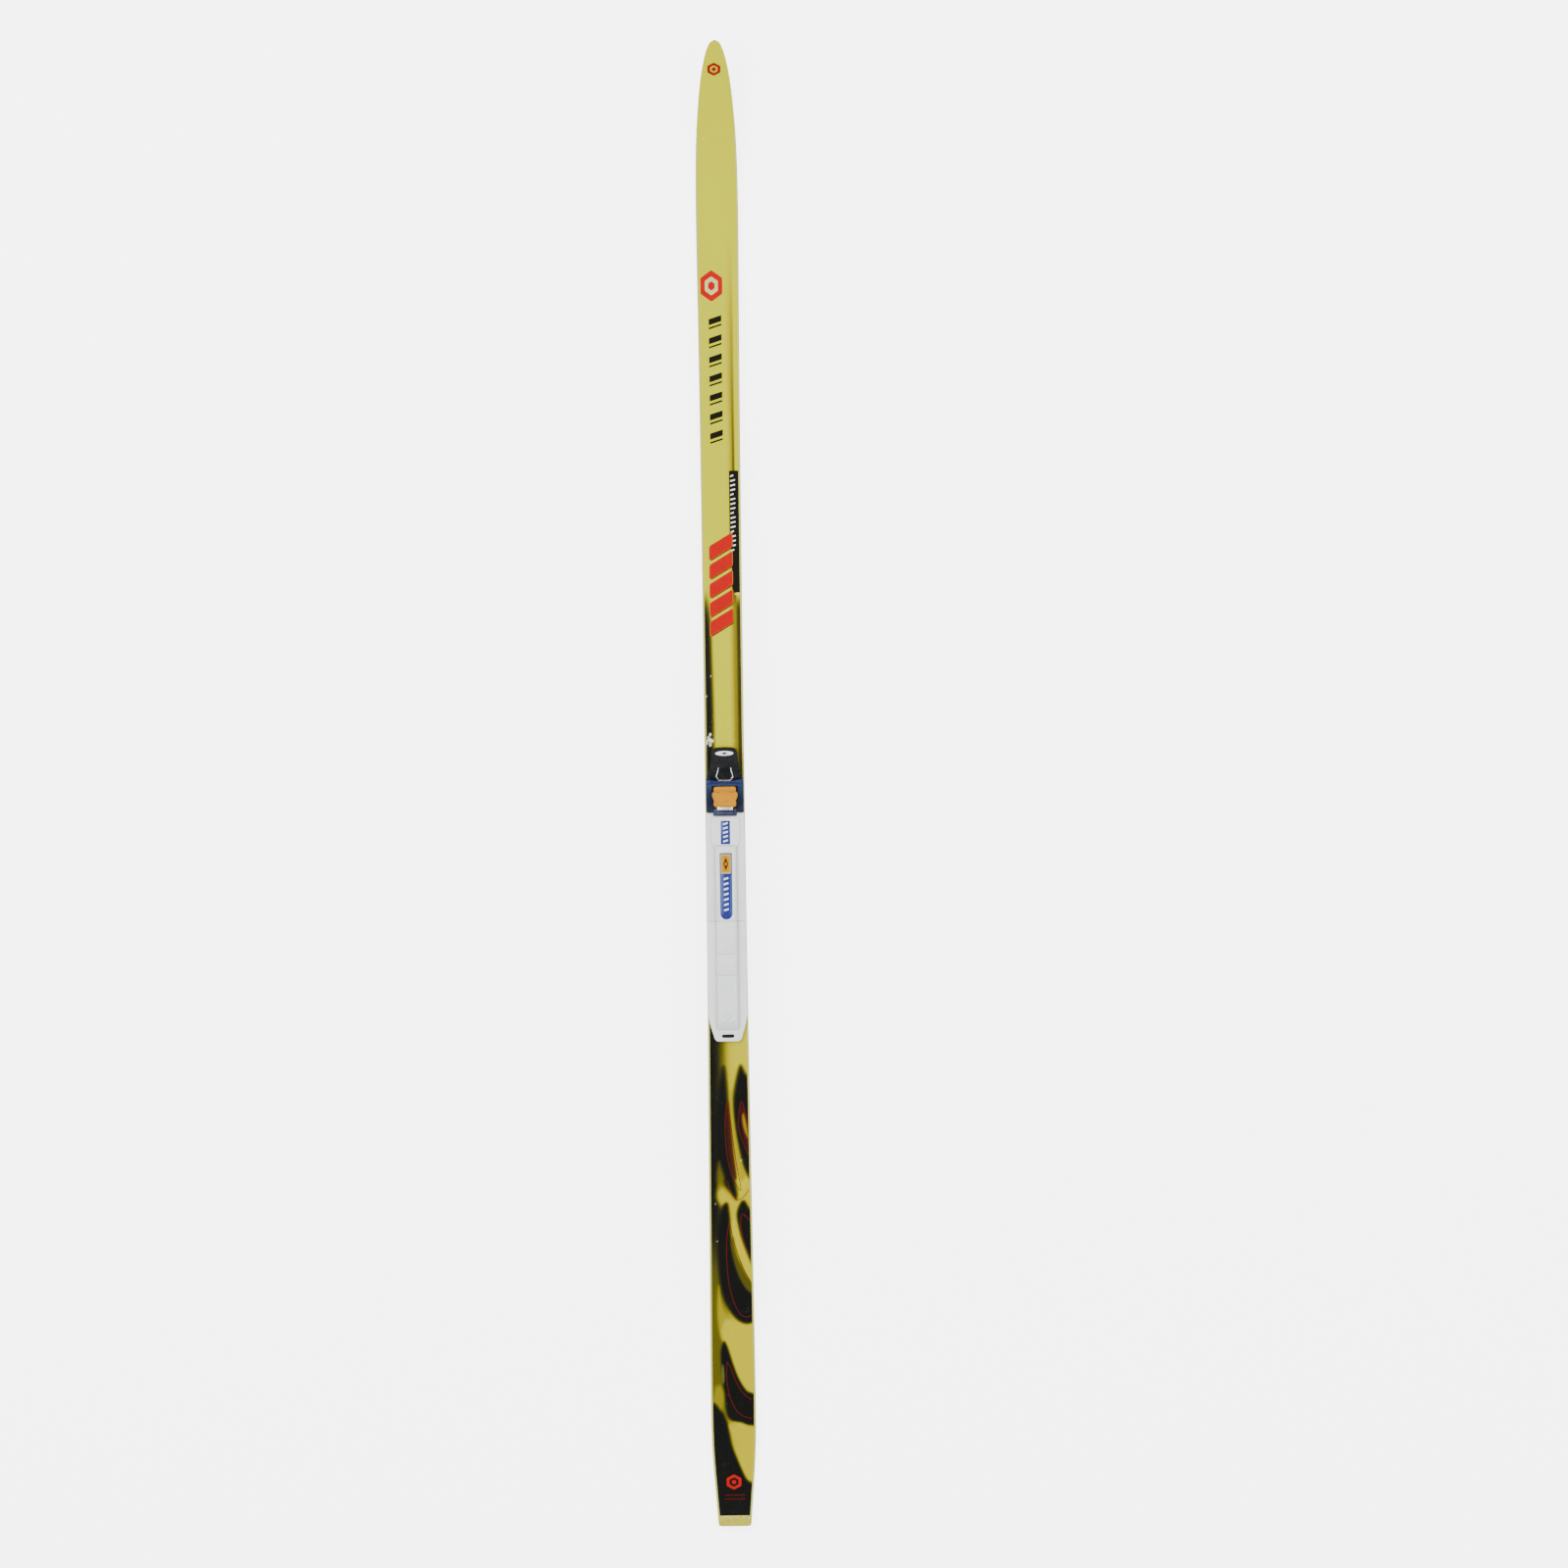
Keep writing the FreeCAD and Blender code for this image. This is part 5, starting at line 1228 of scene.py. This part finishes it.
# ------------------------------------------------------------------ mouldings of the binding
def smooth_group():
    """A node group that shades edges up to 40 degrees smooth."""
    group = bpy.data.node_groups.new("smooth_by_angle", "GeometryNodeTree")
    for direction in ("INPUT", "OUTPUT"):
        group.interface.new_socket(
            "Geometry", in_out=direction, socket_type="NodeSocketGeometry"
        )
    start, end = group.nodes.new("NodeGroupInput"), group.nodes.new("NodeGroupOutput")
    angle = group.nodes.new("GeometryNodeInputMeshEdgeAngle")
    compare = group.nodes.new("FunctionNodeCompare")
    compare.data_type = "FLOAT"
    compare.operation = "LESS_EQUAL"
    compare.inputs[1].default_value = math.radians(40.0)
    smooth = group.nodes.new("GeometryNodeSetShadeSmooth")
    smooth.domain = "EDGE"
    group.links.new(angle.outputs["Unsigned Angle"], compare.inputs[0])
    group.links.new(start.outputs[0], smooth.inputs["Geometry"])
    group.links.new(compare.outputs[0], smooth.inputs["Shade Smooth"])
    group.links.new(smooth.outputs[0], end.inputs[0])
    return group


def add_modifier(piece, name, kind, **settings):
    modifier = piece.modifiers.new(name, kind)
    for key, value in settings.items():
        setattr(modifier, key, value)


def soften(piece, width, group):
    """Rounds a moulding's edges without touching its own mesh."""
    add_modifier(piece, "weld", "WELD", merge_threshold=1e-6)
    add_modifier(piece, "planes", "DECIMATE", decimate_type="DISSOLVE",
                 angle_limit=math.radians(1.0))
    add_modifier(
        piece, "edges", "BEVEL", width=width * MM, segments=3 if width > 0.35 else 2,
        limit_method="ANGLE", angle_limit=math.radians(32.0), use_clamp_overlap=True,
        harden_normals=False,
    )
    for face in piece.data.polygons:
        face.use_smooth = True
    bpy.context.view_layer.objects.active = piece
    add_modifier(piece, "shade", "NODES", node_group=group)


# node, material, width of the rounded edges
MOULDINGS = [
    ("binding_base", DARK_BASE, 0.3), ("housing", NAVY, 0.6), ("release_lever", BLACK, 0.5),
    ("bar_seat", SLATE, 0.3), ("guide_plate", WHITE, 0.4), ("heel_plate", WHITE, 0.4),
    ("heel_screw_cover", WHITE, 0.2), ("heel_insert", BLACK, 0.15), ("jaw_slide", STEEL, 0.2),
    ("front_label", BLUE, 0.12), ("ridge_label", BLUE, 0.2), ("lever_badge", BADGE, 0.12),
    ("housing_screws", ZINC, 0.08), ("guide_plate_screws", ZINC, 0.08),
    ("heel_plate_screws", ZINC, 0.08), ("lever_pin", BRIGHT, 0.15),
]
SMOOTH_GROUP = smooth_group()
for name, shader, width in MOULDINGS:
    put(NODES[name], shader)
    soften(NODES[name], width, SMOOTH_GROUP)


# ------------------------------------------------------------------ wires, spring and flexor
def tube(name, path, radius, shader, slot, replaces, body="ski", sides=14):
    """A round wire along a path, with domed ends."""
    path = np.array(path, float)
    runs = np.gradient(path, axis=0)
    runs /= np.linalg.norm(runs, axis=1)[:, None]
    normal = np.cross(runs[0], (0.31, 0.2, 0.93))
    normal /= np.linalg.norm(normal)
    turns = np.arange(sides)[:, None] * 2 * math.pi / sides
    circles = []
    for run in runs:
        normal = normal - run * np.dot(normal, run)
        normal /= np.linalg.norm(normal)
        circles.append(np.cos(turns) * normal + np.sin(turns) * np.cross(run, normal))

    def dome(end, size, sign):
        reach = sign * runs[end] * radius * math.sqrt(1 - size * size) * 0.7
        return path[end] + reach + circles[end] * radius * size

    rings = [dome(0, size, -1) for size in (0.05, 0.45, 0.8)]
    rings += [place + circle * radius for place, circle in zip(path, circles)]
    rings += [dome(-1, size, 1) for size in (0.8, 0.45, 0.05)]
    piece = loft(name, rings, slot, replaces=replaces, body=body, angle=60.0)
    put(piece, shader)
    return piece


# the right wire arm: x, y, height above the ski's top
ARM = [
    (7.0, 18.6, 12.9), (7.0, 18.45, 14.6), (7.2, 17.2, 15.2), (7.6, 15.0, 15.5),
    (8.1, 13.2, 15.62), (8.6, 11.6, 15.72), (9.1, 9.4, 15.74), (9.15, 8.0, 15.74),
    (8.6, 7.0, 15.7), (7.5, 6.55, 15.4), (7.15, 6.5, 14.6), (7.1, 6.5, 13.6),
]
for side, word in SIDES:
    path = smooth_curve([(side * x, y, TOP + z) for x, y, z in ARM])
    tube(f"wire_arm_{word}", path, 0.6, BRIGHT, "silver_wire", "lever_wire", body="lever")


def build_spring():
    """The jaw's return spring."""
    rear, front, radius, wire = -17.0, -0.05, 2.1, 0.35
    turns, steps = 8, 28
    axis_z = TOP + 4.4
    path = []
    for k in range(turns * steps + 1):
        part = k / (turns * steps)
        angle = 2 * math.pi * turns * part
        path.append((
            radius * math.cos(angle),
            rear + wire + (front - rear - 2 * wire) * part,
            axis_z + radius * math.sin(angle),
        ))
    coil = tube("jaw_spring_coil", path, wire, SPRING_WIRE, "spring_steel", "jaw_spring",
                sides=10)
    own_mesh(coil)


def build_flexor():
    """The flexor, crowned and creased."""
    rear, front = -26.16, -2.94
    edge_steps = np.array([0, 0.12, 0.4, 0.8, 1.3, 1.9])
    along = np.concatenate([
        rear + edge_steps, np.arange(-24.0, -4.9, 0.36), front - edge_steps[::-1]
    ])
    crown = Cubic(
        [-26.2, -24.8, -22.0, -18.0, -14.0, -10.6, -9.2, -8.2, -6.6, -4.4, -2.9],
        [55.15, 56.1, 56.42, 56.5, 56.3, 55.95, 55.55, 55.55, 56.1, 56.0, 54.9],
        slopes=(0.9, -1.2),
    )
    half = Cubic(
        [-26.2, -24.5, -21.0, -18.2, -16.6, -14.6, -12.0, -10.0, -8.6, -7.2, -5.0, -2.9],
        [11.6, 12.6, 12.75, 12.8, 13.5, 14.3, 14.5, 14.1, 12.7, 12.6, 12.7, 11.7],
        slopes=(0.4, -0.4),
    )
    # cross creases: y, depth, width, x where they begin to deepen, least part of the depth
    creases = [(-8.9, 0.75, 0.75, 3.4, 0.12), (-19.4, 0.16, 1.0, 0.0, 1.0)]
    floor = float(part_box("flexor")[0].z) * 1000
    radius = 2.3
    rings = []
    for y in along:
        edge = float(half(y))
        under = floor + 0.02 if y > -20.6 else TOP + 12.34
        shrink = max(0.0, 1.2 - min(y - rear, front - y)) ** 2 / 1.44 * 0.9
        x = edge * np.linspace(-1, 1, 41)
        out = np.abs(x)
        past = np.clip((out - (edge - radius)) / radius, 0, 1)
        z = float(crown(y)) - shrink
        z = z - radius * (1 - np.sqrt(np.maximum(0, 1 - past * past))) * 0.92
        for crease_y, depth, width, start_x, least in creases:
            centre = crease_y - 0.9 * (1 - (out / 12.7) ** 2)
            fade = np.clip((out - start_x) / 4.0, least, 1)
            z = z - depth * np.exp(-(((y - centre) / width) ** 2)) * fade
        # a shallow hollow down the middle
        ends = np.clip((y + 25) / 4, 0, 1) * np.clip((-11 - y) / 4, 0, 1)
        z = z - 0.22 * np.exp(-((x / 5.0) ** 2)) * ends
        z = np.maximum(z, under + 0.3)
        points = [(-edge + 0.25, under), (-edge, under + 0.25), *zip(x, z)]
        points += [(edge, under + 0.25), (edge - 0.25, under)]
        rings.append(section(points, y))
    block = loft("flexor_block", rings, "orange_elastomer", replaces="flexor", angle=60.0)
    put(block, FLEXOR)


build_spring()
build_flexor()

# ------------------------------------------------------------------ prints on labels and badge
BADGE_Y = 34.8
BADGE_SLOPE = (11.5 - 8.3) / (38.6 - 31.0)  # fall of the badge's top towards the tip


def badge_top(y):
    middle = TOP + 9.9 + 0.22 / math.cos(math.atan(BADGE_SLOPE))
    return middle - (y - BADGE_Y) * BADGE_SLOPE


def lozenge(y, half_x, half_y):
    return [(-half_x, y), (0, y + half_y), (half_x, y), (0, y - half_y)]


def rectangle(half, front, rear):
    return [(-half, front), (half, front), (half, rear), (-half, rear)]


def label_print(label, name, loop, shader, lift=0.04):
    """A print on the flat top of a label."""
    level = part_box(label)[1].z * 1000
    decal(name, loop, shader, lift, height=lambda y: level)


DARK_PRINT = print_ink("print_dark", "#1b1c20")
decal(
    "badge_lozenge", rounded(lozenge(BADGE_Y, 4.2, 1.35), 0.5), DARK_PRINT, 0.035,
    body="lever", height=badge_top, slices=1.0, thick=0.06,
)
for i in range(5):
    y = -44.0 - i * 4.9
    mark = [(-2.6, y - 2.9), (-2.6, y - 0.9), (2.8, y + 0.6), (2.8, y - 1.4)]
    label_print("front_label", f"front_label_mark_{i}", rounded(mark, 0.4, 3), ICE_PRINT)
for word, loop, shader, lift in (
    ("box", rounded(rectangle(5.6, -80.0, -102.0), 0.5, 3), PEACH_PRINT, 0.04),
    ("box_field", rounded(rectangle(4.6, -81.4, -100.6), 0.5, 3), ORANGE_PRINT, 0.055),
    ("box_lozenge", rounded(lozenge(-91.0, 2.9, 7.6), 0.6), AMBER_PRINT, 0.07),
    ("box_bar", rounded([(-1.1, -89.6), (1.1, -89.0), (1.1, -92.4), (-1.1, -93.0)], 0.3, 3),
     ORANGE_PRINT, 0.085),
):
    label_print("ridge_label", f"ridge_{word}", loop, shader, lift)
for side, word in SIDES:
    inner, outer = side * 4.6, side * 5.5
    rule = [(inner, -104.0), (outer, -104.0), (outer, -146.5), (inner, -146.5)]
    label_print("ridge_label", f"ridge_rule_{word}", rule[::side], LIGHT_BLUE)
for i in range(7):
    y = -106.0 - i * 5.9
    mark = [(-2.5, y - 3.5), (-2.5, y - 1.3), (2.6, y + 0.2), (2.6, y - 2.0)]
    label_print("ridge_label", f"ridge_mark_{i}", rounded(mark, 0.4, 3), ICE_PRINT)


# ------------------------------------------------------------------ floor, lights and camera
def floor_material():
    """Pale grey that also glows, but only as the camera sees it."""
    shader = Shader("pale_floor")
    seen = shader.node("LightPath").outputs["Is Camera Ray"]
    shader.surface(
        colour=(0.93, 0.93, 0.93, 1), rough=0.9, spec=0.1,
        glow=shader.multiply(seen, 4.4), glow_colour=(1, 1, 1, 1),
    )
    return shader


def build_floor():
    half = 6.0  # metres
    corners = [(-half, -half, 0), (half, -half, 0), (half, half, 0), (-half, half, 0)]
    mesh = bpy.data.meshes.new("floor")
    mesh.from_pydata(corners, [], [(0, 1, 2, 3)])
    floor = link_new("floor", mesh)
    floor.location.z = -0.0004
    put(floor, floor_material())


def build_lights():
    world = bpy.data.worlds.new("studio")
    bpy.context.scene.world = world
    world.use_nodes = True
    background = world.node_tree.nodes["Background"]
    background.inputs["Color"].default_value = (1, 1, 1, 1)
    background.inputs["Strength"].default_value = 0.78
    # name, place in metres, disk size in metres, power in watts
    for name, place, size, power in (
        ("key", (-1.6, 0.5, 2.4), 2.2, 70.0),
        ("fill", (1.9, -0.4, 2.2), 2.4, 42.0),
        ("back", (0.2, 2.3, 1.9), 1.8, 29.0),
    ):
        light = bpy.data.lights.new(name, "AREA")
        light.shape = "DISK"
        light.size = size
        light.energy = power
        lamp = link_new(name, light)
        lamp.location = place
        aim = Vector((0, 0, 0)) - Vector(place)
        lamp.rotation_euler = aim.to_track_quat("-Z", "Y").to_euler()


def build_camera():
    """Straight above, tip up, the ski left of the frame's middle and turned under a degree."""
    height, field, shift = 14.0, 1.7904, 0.0674757  # metres; shift is to the right of the ski
    roll = -0.0138696522  # radians
    camera = bpy.data.cameras.new("camera")
    holder = link_new("camera", camera)
    camera.sensor_width = 36.0
    camera.lens = camera.sensor_width * height / field
    camera.clip_end = 60.0
    right = Vector((math.cos(roll), math.sin(roll), 0))
    holder.location = right * shift + Vector((0, 0, height))
    holder.rotation_euler = (0, 0, roll)
    bpy.context.scene.camera = holder


build_floor()
build_lights()
build_camera()
